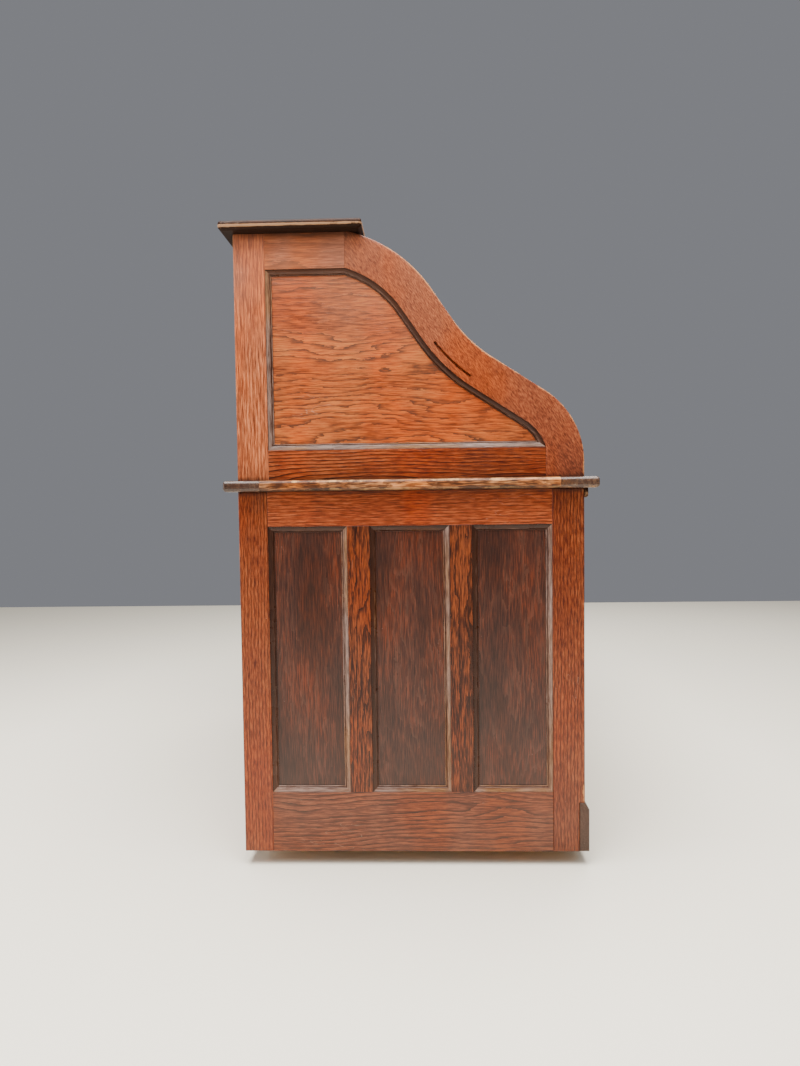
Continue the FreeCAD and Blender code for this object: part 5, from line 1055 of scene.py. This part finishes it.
meshObject("writing_top_cleats_wood", cleats, oak["slabWorn"], "root", ("writing_top_cleats",))
field = board((-w + tops["cleatWide"], tops["railFront"], lowZ),
              (w - tops["cleatWide"], tops["railBack"], highZ), "x", edge=tops["fieldEdge"])
meshObject("writing_top_field_wood", [field], oak["frameOak"], "root", ("writing_top_field",))

topLow, topHigh = boxOf("top_board")
topBoard = nosedBoard(topLow, topHigh, "x", ("-x", "+x", "-y", "+y"), tops["boardNose"], tone=0.0, steps=9,
                      corner=tops["boardCorner"])
# the nose is worn along its middle only, and that pale band also stands as a painted highlight
topHeight = topBoard["verts"][:, 2] - topLow[2]
topBoard["worn"] = np.interp(topHeight, [0, 0.004, 0.006, 0.010, 0.012, 0.019], [0, 0.1, 1, 1, 0.1, 0])
# painted shade on the nose: darkest on the underside and lower round, and darker again along the top edge
topBoard["grime"] = np.interp(topHeight, [0, 0.003, 0.005, 0.013, 0.019], [0.95, 0.7, 0, 0, 0.6])
meshObject("top_board_wood", [topBoard], oak["topDark"], "root", ("top_board",))


# A closed (y, z) outline carried along X, drawn in a little at both ends so that its ends are softened.
def profileAlongX(profileY, profileZ, x0, x1, worn, soft=0.0006, rows=2):
    y, z = np.asarray(profileY, float), np.asarray(profileZ, float)
    cy, cz = y.mean(), z.mean()
    reach = max(np.ptp(y), np.ptp(z)) / 2
    inner = np.linspace(x0 + soft * 3, x1 - soft * 3, rows)
    xs = np.concatenate([[x0, x0 + soft * 0.3, x0 + soft], inner, [x1 - soft, x1 - soft * 0.3, x1]])
    inset = np.concatenate([[soft, soft * 0.3, 0], np.zeros(rows), [0, soft * 0.3, soft]])
    scale = (1 - inset / reach)[:, None]
    across = np.broadcast_to(xs[:, None], (len(xs), len(y)))
    rings = np.stack([across, cy + (y - cy) * scale, cz + (z - cz) * scale], -1)
    wornEnd = np.maximum((inset > 0)[:, None] * 0.7, worn[None])
    return sweptRing(rings, (1, 0, 0), (0, 1, 0), (0, 0, 1), worn=wornEnd)


# the bead under the writing top's front edge: a flat back and a quarter-round nose
bead = {"round": 0.0055, "lip": 0.0006}
beadLow, beadHigh = boxOf("front_bead")
beadTurns = np.radians(np.linspace(0, 90, 9))
beadY = np.concatenate([[beadHigh[1], beadHigh[1]], beadLow[1] + bead["round"] * (1 - np.sin(beadTurns)),
                        [beadLow[1], beadLow[1] + bead["lip"]]])
beadZ = np.concatenate([[beadHigh[2], beadLow[2]], beadLow[2] + bead["round"] * (1 - np.cos(beadTurns)),
                        [beadHigh[2] - bead["lip"], beadHigh[2]]])
beadWorn = np.concatenate([[0, 0], 0.6 * np.sin(2 * beadTurns), [0.3, 0]])
beadPart = profileAlongX(beadY, beadZ, beadLow[0], beadHigh[0], worn=beadWorn)
meshObject("front_bead_wood", [beadPart], oak["topDark"], "root", ("front_bead",))
print("tops made")


tambour = {"groups": (4, 2, 2, 2, 2, 4, 4, 4, 3, 3), "first": 0.0473, "pitch": 0.021, "gap": 0.0008,
           "endX": 0.633, "crown": 0.008, "edge": 0.0045, "back": -0.005, "shoulder": 0.0012,
           "canvasX": 0.600, "canvasShort": 0.003, "canvasNear": 0.0003, "canvasFar": 0.0013,
           "backTaper": 0.87}


# Place along the track and height over it: a low crown between two rounded shoulders and a flat back,
# narrower than the crown so that slats clear each other where the track turns tightest.
def slatProfile():
    half = (tambour["pitch"] - tambour["gap"]) / 2
    t = np.linspace(-1, 1, 15)
    low, high = tambour["edge"] - tambour["shoulder"], tambour["crown"]
    rise = low + (high - low) * (1 - np.abs(t) ** 2.6) ** 0.6
    taper = tambour["backTaper"]
    along = half * np.concatenate([t, [1, taper + 0.03, taper, -taper, -taper - 0.03, -1]])
    height = np.concatenate([rise, [0.001, tambour["back"] + 0.0008, tambour["back"], tambour["back"],
                                    tambour["back"] + 0.0008, 0.001]])
    worn = np.concatenate([0.55 * (1 - np.abs(t)) ** 0.5, np.zeros(6)])
    # darker towards the shoulders, in the grooves between slats, and on the sides and back
    grime = np.concatenate([0.75 * np.abs(t) ** 8, [0.9, 0.9, 0, 0, 0.9, 0.9]])
    return along, height, worn, grime


slatAlong, slatHeight, slatWorn, slatDarkening = slatProfile()
slatEnds = np.array([-1.0, -0.9996, -0.999, -0.992, -0.5, 0.0, 0.5, 0.992, 0.999, 0.9996, 1.0])
slatInset = np.array([0.12, 0.03, 0.0, 0, 0, 0, 0, 0, 0, 0.03, 0.12])


# Place (y, z) and heading of the track at a distance along it.
def trackFrame(distance):
    y, z, angle = curveAt(alongCurve(distance, curve["trackIn"]), curve["trackIn"])
    return float(y), float(z), float(angle)


# The slat's outline stands square on the track and is carried along X, drawn in a little at its ends.
def slat(distance):
    y0, z0, a = trackFrame(distance)
    scale = (1 - slatInset)[:, None]
    t, n = slatAlong[None] * (1 - slatInset[:, None] * 0.3), slatHeight[None] * scale
    y = y0 + t * math.cos(a) - n * math.sin(a)
    z = z0 + t * math.sin(a) + n * math.cos(a)
    x = np.broadcast_to(slatEnds[:, None] * tambour["endX"], y.shape)
    worn = np.maximum(slatWorn[None], (slatInset > 0)[:, None] * 0.6)
    return sweptRing(np.stack([x, y, z], -1), (1, 0, 0), (0, math.cos(a), math.sin(a)),
                     (0, -math.sin(a), math.cos(a)), worn=worn, grime=slatDarkening[None])


# Cloth glued behind a group of slats, from one distance along the track to another.
def canvasBand(start, stop):
    s = alongCurve(np.linspace(start, stop, 12), curve["trackIn"])
    behind = curve["trackIn"] - tambour["back"]
    nearY, nearZ, _ = curveAt(s, behind + tambour["canvasNear"])
    farY, farZ, _ = curveAt(s, behind + tambour["canvasFar"])
    y, z = np.concatenate([nearY, farY[::-1]]), np.concatenate([nearZ, farZ[::-1]])
    x = np.linspace(-tambour["canvasX"], tambour["canvasX"], 9)[:, None]
    rings = np.stack(np.broadcast_arrays(x, y[None], z[None]), -1)
    return sweptRing(rings, (1, 0, 0), (0, 0.7, 0.7), (0, -0.7, 0.7))


# Soiled canvas: its weave is the product of two fine waves at right angles.
def canvasMaterial():
    material, tree, shader = newMaterial("slatCanvas")
    place = wire(tree, "Attribute", attribute_name="grainPlace").outputs["Vector"]
    threads = [wire(tree, "TexWave", {"Scale": 330.0, "Distortion": 0.6, "Detail": 1.0}, {"Vector": place},
                    bands_direction=way).outputs["Fac"] for way in "XY"]
    weave = mathNode(tree, "MULTIPLY", *threads)
    soil = wire(tree, "TexNoise", {"Scale": 22.0, "Detail": 5.0}, {"Vector": place})
    base = ramp(tree, soil.outputs["Fac"], [(0.3, (0.20, 0.155, 0.10)), (0.7, (0.42, 0.36, 0.26))])
    tree.links.new(mixColour(tree, weave, (0.10, 0.08, 0.055, 1), base), shader.inputs["Base Color"])
    shader.inputs["Roughness"].default_value = 0.95
    relief = wire(tree, "Bump", {"Strength": 0.5, "Distance": 0.0004}, {"Height": weave})
    tree.links.new(relief.outputs[0], shader.inputs["Normal"])
    return material


canvas = canvasMaterial()
slatStart = tambour["first"]
for number, count in enumerate(tambour["groups"], start=1):
    name = f"tambour_slats_{number:02d}"
    parts = [slat(slatStart + tambour["pitch"] * (index + 0.5)) for index in range(count)]
    stop = slatStart + tambour["pitch"] * count
    band = canvasBand(slatStart + tambour["canvasShort"], stop - tambour["canvasShort"])
    meshObject(name + "_wood", parts, oak["tambourOak"], name, (name,))
    meshObject(name + "_canvas", [band], canvas, name, ())
    slatStart = stop
print("tambour made:", sum(tambour["groups"]), "slats")


# Old metal. Tarnish lies where 0.7 * a broad noise + 0.3 * a fine one passes a level, which also roughens
# it, and fine turning scratches lift the surface.
def metalMaterial(name, base, dark, roughness, tarnish=0.5):
    material, tree, shader = newMaterial(name)
    place = wire(tree, "TexCoord").outputs["Object"]
    pool = wire(tree, "TexNoise", {"Scale": 90.0, "Detail": 6.0, "Roughness": 0.65}, {"Vector": place})
    spots = wire(tree, "TexNoise", {"Scale": 420.0, "Detail": 3.0}, {"Vector": place})
    blended = mathNode(tree, "ADD", mathNode(tree, "MULTIPLY", pool.outputs["Fac"], 0.7),
                       mathNode(tree, "MULTIPLY", spots.outputs["Fac"], 0.3))
    mask = wire(tree, "MapRange", {"From Min": 0.62 - tarnish * 0.3, "From Max": 0.72}, {"Value": blended})
    tree.links.new(mixColour(tree, mask.outputs[0], (*base, 1), (*dark, 1)), shader.inputs["Base Color"])
    shader.inputs["Metallic"].default_value = 1.0
    level = mathNode(tree, "ADD", mathNode(tree, "MULTIPLY", mask.outputs[0], 0.25), roughness)
    tree.links.new(level, shader.inputs["Roughness"])
    scratchMap = wire(tree, "Mapping", {"Scale": (60.0, 60.0, 2400.0)}, {"Vector": place})
    scratch = wire(tree, "TexNoise", {"Scale": 1.0, "Detail": 2.0}, {"Vector": scratchMap.outputs[0]})
    bump = wire(tree, "Bump", {"Strength": 0.12, "Distance": 0.0003}, {"Height": scratch.outputs["Fac"]})
    tree.links.new(bump.outputs[0], shader.inputs["Normal"])
    return material


brass = metalMaterial("agedBrass", (0.62, 0.43, 0.17), (0.16, 0.095, 0.035), 0.26)
steel = metalMaterial("glideSteel", (0.56, 0.56, 0.55), (0.20, 0.17, 0.14), 0.30, 0.3)


# A turned shape: an outline of (radius, height) carried round an axis, both of its ends closed flat.
def turned(profile, centre, axis, around=40, **more):
    profile = np.asarray(profile, float)
    angle = np.linspace(0, 2 * math.pi, around, endpoint=False)
    axis = np.asarray(axis, float)
    side = np.cross(axis, (0, 0, 1.0)) if abs(axis[2]) < 0.9 else np.array([1.0, 0, 0])
    side /= np.linalg.norm(side)
    other = np.cross(axis, side)
    circle = np.cos(angle)[:, None] * side + np.sin(angle)[:, None] * other
    rings = np.asarray(centre, float) + profile[:, None, :1] * circle[None] + profile[:, None, 1:] * axis
    return sweptRing(rings, tuple(axis), tuple(side), tuple(other), **more)


glide = {"round": 0.002, "bevel": 0.0004, "flat": 0.004}
glides = []
for low, high in solidBoxes("steel_glides"):
    middle, radius, tall = (low + high) / 2, (high[0] - low[0]) / 2, high[2] - low[2]
    soft, bevel, flat = glide["round"], glide["bevel"], glide["flat"]
    turn = np.radians(np.linspace(-90, 0, 6))
    edge = [(radius - soft + soft * math.cos(a), soft + soft * math.sin(a)) for a in turn]
    profile = [(flat, 0.0)] + edge + [(radius, tall - bevel), (radius - bevel, tall), (flat, tall)]
    glides.append(turned(profile, (middle[0], middle[1], low[2]), (0, 0, 1)))
meshObject("steel_glides_metal", glides, steel, "root", ("steel_glides",))


pullShape = {"wide": 0.112, "half": 0.014, "proud": 0.021}


# A carved wooden pull. Its outline has a domed top, a rounded lip and a finger hollow below, and is carried
# along X while an envelope 1-|u|^4 draws it down and back towards the drawer at both ends.
def carvedPull(x, z):
    k = np.linspace(0, 1, 13)
    domeOut, domeUp = np.sin(k * math.pi / 2) ** 0.9, np.cos(k * math.pi / 2)
    lipTurn = np.linspace(0, 1, 7)[1:]
    out = np.concatenate([domeOut, 1 - 0.10 * (1 - np.cos(lipTurn * math.pi / 2)),
                          [0.80, 0.62, 0.50, 0.42, 0.36, 0.2, 0]])
    rise = np.concatenate([domeUp, -0.75 * np.sin(lipTurn * math.pi / 2),
                           [-0.80, -0.62, -0.36, -0.16, -0.05, -0.02, -0.02]])
    worn = np.concatenate([0.2 + 0.6 * k, 0.8 * np.ones(6), [0.5, 0, 0, 0, 0, 0, 0]])
    grime = np.concatenate([np.r_[0.6, np.zeros(12)], np.zeros(6), [0.1, 0.5, 0.7, 0.7, 0.6, 0.6, 0.6]])
    u = np.sin(np.linspace(-math.pi / 2, math.pi / 2, 41))
    envelope = (1 - np.abs(u) ** 4) ** 0.5 * 0.93 + 0.07
    xs = x + u * pullShape["wide"] / 2
    y = drawerMake["face"] - pullShape["proud"] * out[None] * envelope[:, None]
    zz = z + pullShape["half"] * rise[None] * (0.45 + 0.55 * envelope[:, None])
    rings = np.stack([np.broadcast_to(xs[:, None], y.shape), y, zz], -1)
    return sweptRing(rings, (1, 0, 0), (0, 0, 1), (0, 1, 0), worn=worn[None], grime=grime[None], tone=0.3)


knobShape = {"radius": 0.009, "proud": 0.016, "dome": 0.0062}


# A small turned wooden knob: a foot, a neck and a head whose outline is half an ellipse.
def turnedKnob(x, z, face):
    radius, proud, dome = (knobShape[key] for key in ("radius", "proud", "dome"))
    turn = np.radians(np.linspace(-55, 88, 12))
    head = [(radius * max(math.cos(a), 0.05), proud - dome + dome * math.sin(a)) for a in turn]
    profile = [(0.0065, 0.0), (0.0065, 0.0008), (0.0058, 0.0016), (0.0042, 0.0030), (0.0038, 0.0052),
               (0.0044, 0.0068)] + head
    return turned(profile, (x, face, z), (0, -1, 0), worn=0.35)


# each drawer, and the places of its pulls where that isn't one in the middle of the front
drawerPulls = {
    "left_top": {}, "left_middle": {}, "left_bottom": {}, "right_top": {}, "right_file": {"z": 0.471},
    "centre": {"xs": (-0.185, 0.185)},
}
drawerMake = {"face": -0.342, "frontThick": 0.020, "frontEdge": 0.003, "wall": 0.012, "floor": 0.006}


# A drawer's box: two sides full length, a back between them and a bottom inside all three.
def drawerBoards(low, high):
    wall = drawerMake["wall"]
    x0, x1, back = low[0] + wall, high[0] - wall, high[1] - wall
    boards = [
        (low, (x0, high[1], high[2]), "y"), ((x1, low[1], low[2]), high, "y"),
        ((x0, back, low[2]), (x1, high[1], high[2]), "x"),
        ((x0, low[1], low[2]), (x1, back, low[2] + drawerMake["floor"]), "y"),
    ]
    return boardsFrom(boards, wornFaces=())


# A lipped drawer front: a board with its grain across and a thumbnail edge.
def drawerFront(low, high):
    face, back = drawerMake["face"], drawerMake["face"] + drawerMake["frontThick"]
    return board((low[0], face, low[2]), (high[0], back, high[2]), "x", edge=drawerMake["frontEdge"])


for drawer, pulls in drawerPulls.items():
    body, frontName, boxName = "drawer_" + drawer, "drawer_front_" + drawer, "drawer_box_" + drawer
    low, high = boxOf(frontName)
    middle = (low + high) / 2
    parts = [drawerFront(low, high)]
    parts += [carvedPull(x, pulls.get("z", middle[2])) for x in pulls.get("xs", (middle[0],))]
    meshObject(frontName + "_wood", parts, oak["frameOak"], body, (frontName,))
    meshObject(boxName + "_wood", drawerBoards(*boxOf(boxName)), oak["innerWood"], body, (boxName,))

slideEdge = 0.002
galleryDrawer = {"frontThick": 0.006, "frontEdge": 0.0012, "boxDrop": 0.0015}
for side in ("left", "right"):
    name = "writing_slide_" + side
    low, high = boxOf(name)
    leaf = board((low[0], drawerMake["face"], low[2]), high, "y", edge=slideEdge)
    knob = turnedKnob((low[0] + high[0]) / 2, (low[2] + high[2]) / 2, drawerMake["face"])
    meshObject(name + "_wood", [leaf, knob], oak["frameOak"], name, (name,))
    name = "gallery_drawer_" + side
    boxes = solidBoxes(name)
    knobBox = min(boxes, key=lambda pair: (pair[1] - pair[0]).max())
    low, high = next(pair for pair in boxes if pair[0] is not knobBox[0])
    boxFront = low[1] + galleryDrawer["frontThick"]
    parts = [board(low, (high[0], boxFront, high[2]), "x", edge=galleryDrawer["frontEdge"], tone=0.6)]
    parts += drawerBoards(np.array((low[0], boxFront, low[2])),
                          high - np.array((0, 0, galleryDrawer["boxDrop"])))
    knobAt = (knobBox[0] + knobBox[1]) / 2
    parts.append(turnedKnob(knobAt[0], knobAt[2], knobBox[1][1]))
    meshObject(name + "_wood", parts, oak["galleryOak"], name, (name,))
print("drawers, slides and knobs made")


# the lift rail: square at the back, with a small round along its lower front edge and a wide one above
liftRail = {"foot": 0.0015, "brow": 0.0085}
foot, brow = liftRail["foot"], liftRail["brow"]
railLow, railHigh = boxOf("lift_rail")
t = np.radians(np.linspace(0, 90, 7))
railY = np.concatenate([[railHigh[1], railLow[1] + foot], railLow[1] + foot * (1 - np.sin(t[1:])),
                        railLow[1] + brow * (1 - np.cos(t)), [railHigh[1]]])
railZ = np.concatenate([[railLow[2], railLow[2]], railLow[2] + foot * (1 - np.cos(t[1:])),
                        railHigh[2] - brow * (1 - np.sin(t)), [railHigh[2]]])
railWorn = np.concatenate([[0, 0.5], 0.5 * np.ones(6), 0.7 * np.sin(2 * t), [0]])
rail = profileAlongX(railY, railZ, railLow[0], railHigh[0], worn=railWorn, rows=5)
meshObject("lift_rail_wood", [rail], oak["tambourOak"], "lift_rail", ("lift_rail",))
tongues = [board(low, high, "x", edge=0.0015) for low, high in solidBoxes("lift_rail_tongues")]
meshObject("lift_rail_tongues_wood", tongues, oak["innerWood"], "lift_rail", ("lift_rail_tongues",))


# A carved lift handle: the pull's outline turned up for a lifting hand, tapered at both ends.
def gripHandle(low, high):
    k = np.linspace(0, 1, 11)
    dome = np.sin(k * math.pi / 2) ** 0.9
    out = np.concatenate([dome, [1.0, 0.97, 0.88, 0.70, 0.56, 0.48, 0.40, 0.15, 0.0]])
    rise = np.concatenate([0.45 + 0.5 * np.cos(k * math.pi / 2) ** 1.2,
                           [0.25, 0.10, 0.02, 0.04, 0.16, 0.30, 0.40, 0.46, 0.46]])
    u = np.sin(np.linspace(-math.pi / 2, math.pi / 2, 37))
    envelope = ((1 - np.abs(u) ** 4) ** 0.5 * 0.92 + 0.08)[:, None]
    xs = (low[0] + high[0]) / 2 + u * (high[0] - low[0]) / 2
    y = high[1] - (high[1] - low[1]) * out[None] * envelope
    middle = low[2] + (high[2] - low[2]) * 0.46
    z = middle + (low[2] + (high[2] - low[2]) * rise[None] - middle) * (0.5 + 0.5 * envelope)
    rings = np.stack([np.broadcast_to(xs[:, None], y.shape), y, z], -1)
    worn = np.concatenate([0.2 + 0.5 * k, [0.9, 0.8, 0.6, 0, 0, 0, 0, 0, 0]])
    return sweptRing(rings, (1, 0, 0), (0, 0, 1), (0, 1, 0), worn=worn[None], tone=0.2)


handles = [gripHandle(low, high) for low, high in solidBoxes("lift_rail_handles")]
meshObject("lift_rail_handles_wood", handles, oak["tambourOak"], "lift_rail", ("lift_rail_handles",))

lock = {"barrelZ": 0.7985, "face": -0.335, "rear": -0.312, "caseHalf": 0.035, "caseLow": 0.7815,
        "caseHigh": 0.8155, "caseBack": -0.300, "plate": 0.0108, "screwX": 0.026, "screwIn": 0.007}
caseLow, caseHigh, caseHalf = lock["caseLow"], lock["caseHigh"], lock["caseHalf"]
lockParts = [board((-caseHalf, lock["rear"], caseLow), (caseHalf, lock["caseBack"], caseHigh), "x",
                   edge=0.0012)]
plateR = lock["plate"]
lockParts.append(turned([(0.0024, -0.001), (0.0024, 0.0011), (0.0030, 0.0014), (plateR * 0.72, 0.0014),
                         (plateR * 0.80, 0.0020), (plateR * 0.90, 0.0020), (plateR, 0.0012),
                         (plateR, -0.0005)],
                        (0, lock["face"], lock["barrelZ"]), (0, -1, 0)))
lockParts.append(turned([(0.0010, 0.0), (0.0042, 0.0), (0.0044, 0.0006), (0.0040, 0.0012),
                         (0.0012, 0.0014)],
                        (0, lock["face"], lock["barrelZ"]), (0, -1, 0)))
for x in (-lock["screwX"], lock["screwX"]):
    for z in (caseLow + lock["screwIn"], caseHigh - lock["screwIn"]):
        lockParts.append(turned([(0.0004, 0.0004), (0.0008, 0.0009), (0.0022, 0.0007), (0.0030, 0.0),
                                 (0.0030, -0.001)],
                                (x, lock["caseBack"], z), (0, 1, 0), around=20))
meshObject("roll_lock_metal", lockParts, brass, "lift_rail", ("roll_lock",))
bolt = board(*boxOf("lock_bolt"), "z", edge=0.0008)
meshObject("lock_bolt_metal", [bolt], brass, "lock_bolt", ("lock_bolt",))
# the strike plate is four strips round the bolt's hole
strike = {"clear": 0.001, "edge": 0.0005}
plateLow, plateHigh = boxOf("roll_strike_plate")
boltLow, boltHigh = boxOf("lock_bolt")
gapX = boltHigh[0] + strike["clear"]
holeFront, holeBack = boltLow[1] - strike["clear"], boltHigh[1] + strike["clear"]
plateStrips = [
    (plateLow, (-gapX, plateHigh[1], plateHigh[2]), "y"),
    ((gapX, plateLow[1], plateLow[2]), plateHigh, "y"),
    ((-gapX, plateLow[1], plateLow[2]), (gapX, holeFront, plateHigh[2]), "x"),
    ((-gapX, holeBack, plateLow[2]), (gapX, plateHigh[1], plateHigh[2]), "x"),
]
meshObject("roll_strike_plate_metal", boardsFrom(plateStrips, edge=strike["edge"]), brass, "root",
           ("roll_strike_plate",))
print("lift rail, handles and lock made")


# a pale floor, an even backdrop that only the camera sees, and five soft lights with their powers in watts
studio = {"floorHalf": 3.3, "floorColour": (0.92, 0.87, 0.75), "backdrop": (0.21, 0.215, 0.235),
          "skyFill": 0.22, "frontPower": 36.0, "leftPower": 52.0, "rightPower": 12.0,
          "overheadPower": 370.0, "farPower": 60.0}

floorMesh = bpy.data.meshes.new("studioFloor")
half = studio["floorHalf"]
corners = [(-half, -half, 0), (half, -half, 0), (half, half, 0), (-half, half, 0)]
floorMesh.from_pydata(corners, [], [(0, 1, 2, 3)])
floor = bpy.data.objects.new("studioFloor", floorMesh)
bpy.context.scene.collection.objects.link(floor)
floorMaterial, _, floorShader = newMaterial("studioFloor")
floorShader.inputs["Base Color"].default_value = (*studio["floorColour"], 1)
floorShader.inputs["Roughness"].default_value = 0.6
floorShader.inputs["Specular IOR Level"].default_value = 0.12
floorMesh.materials.append(floorMaterial)

world = bpy.data.worlds.new("studioWorld")
bpy.context.scene.world = world
world.use_nodes = True
worldTree = world.node_tree
worldTree.nodes.clear()
worldOut = worldTree.nodes.new("ShaderNodeOutputWorld")
fill = wire(worldTree, "Background", {"Color": (1, 0.985, 0.96, 1), "Strength": studio["skyFill"]})
seen = wire(worldTree, "Background", {"Color": (*studio["backdrop"], 1), "Strength": 1.0})
ray = wire(worldTree, "LightPath")
both = wire(worldTree, "MixShader")
worldTree.links.new(ray.outputs["Is Camera Ray"], both.inputs[0])
worldTree.links.new(fill.outputs[0], both.inputs[1])
worldTree.links.new(seen.outputs[0], both.inputs[2])
worldTree.links.new(both.outputs[0], worldOut.inputs[0])


# A soft rectangular light aimed at a point.
def areaLight(name, place, target, size, power, colour=(1, 0.97, 0.93)):
    data = bpy.data.lights.new(name, "AREA")
    data.shape = "RECTANGLE"
    data.size, data.size_y = size
    data.energy = power
    data.color = colour
    light = bpy.data.objects.new(name, data)
    bpy.context.scene.collection.objects.link(light)
    aim = Vector(target) - Vector(place)
    light.matrix_world = Matrix.Translation(place) @ aim.to_track_quat("-Z", "Y").to_matrix().to_4x4()


areaLight("frontLight", (-3.2, 0.5, 3.3), (-0.6, 0, 0.75), (2.2, 1.6), studio["frontPower"])
areaLight("leftLight", (-1.55, 2.7, 1.15), (-0.65, 0, 0.75), (1.5, 2.2), studio["leftPower"],
          (0.96, 0.98, 1))
areaLight("rightLight", (-1.9, -2.8, 2.2), (-0.6, 0, 0.8), (1.3, 1.3), studio["rightPower"])
areaLight("overheadLight", (-1.1, 0.2, 3.3), (-1.1, 0.2, 0.0), (3.0, 2.4), studio["overheadPower"])
areaLight("farLight", (2.6, -1.4, 2.8), (0, 0, 0.8), (2.0, 1.5), studio["farPower"])

# the camera's lens in millimetres, its place in metres, and its turns in degrees
view = {"lens": 27.017, "place": (-2.242, -0.031, 0.744), "yaw": 1.89, "pitch": 2.56, "roll": -0.715}
yaw, pitch, roll = (math.radians(view[key]) for key in ("yaw", "pitch", "roll"))
forward = Vector((math.cos(pitch) * math.cos(yaw), math.cos(pitch) * math.sin(yaw), -math.sin(pitch)))
right = forward.cross(Vector((0, 0, 1))).normalized()
up = right.cross(forward)
rightRolled = right * math.cos(roll) + up * math.sin(roll)
upRolled = up * math.cos(roll) - right * math.sin(roll)
cameraData = bpy.data.cameras.new("deskCamera")
cameraData.lens, cameraData.sensor_width, cameraData.sensor_fit = view["lens"], 36.0, "AUTO"
cameraData.clip_start = 0.05
camera = bpy.data.objects.new("deskCamera", cameraData)
bpy.context.scene.collection.objects.link(camera)
turn = Matrix((rightRolled, upRolled, -forward)).transposed().to_4x4()
camera.matrix_world = Matrix.Translation(view["place"]) @ turn
bpy.context.scene.camera = camera
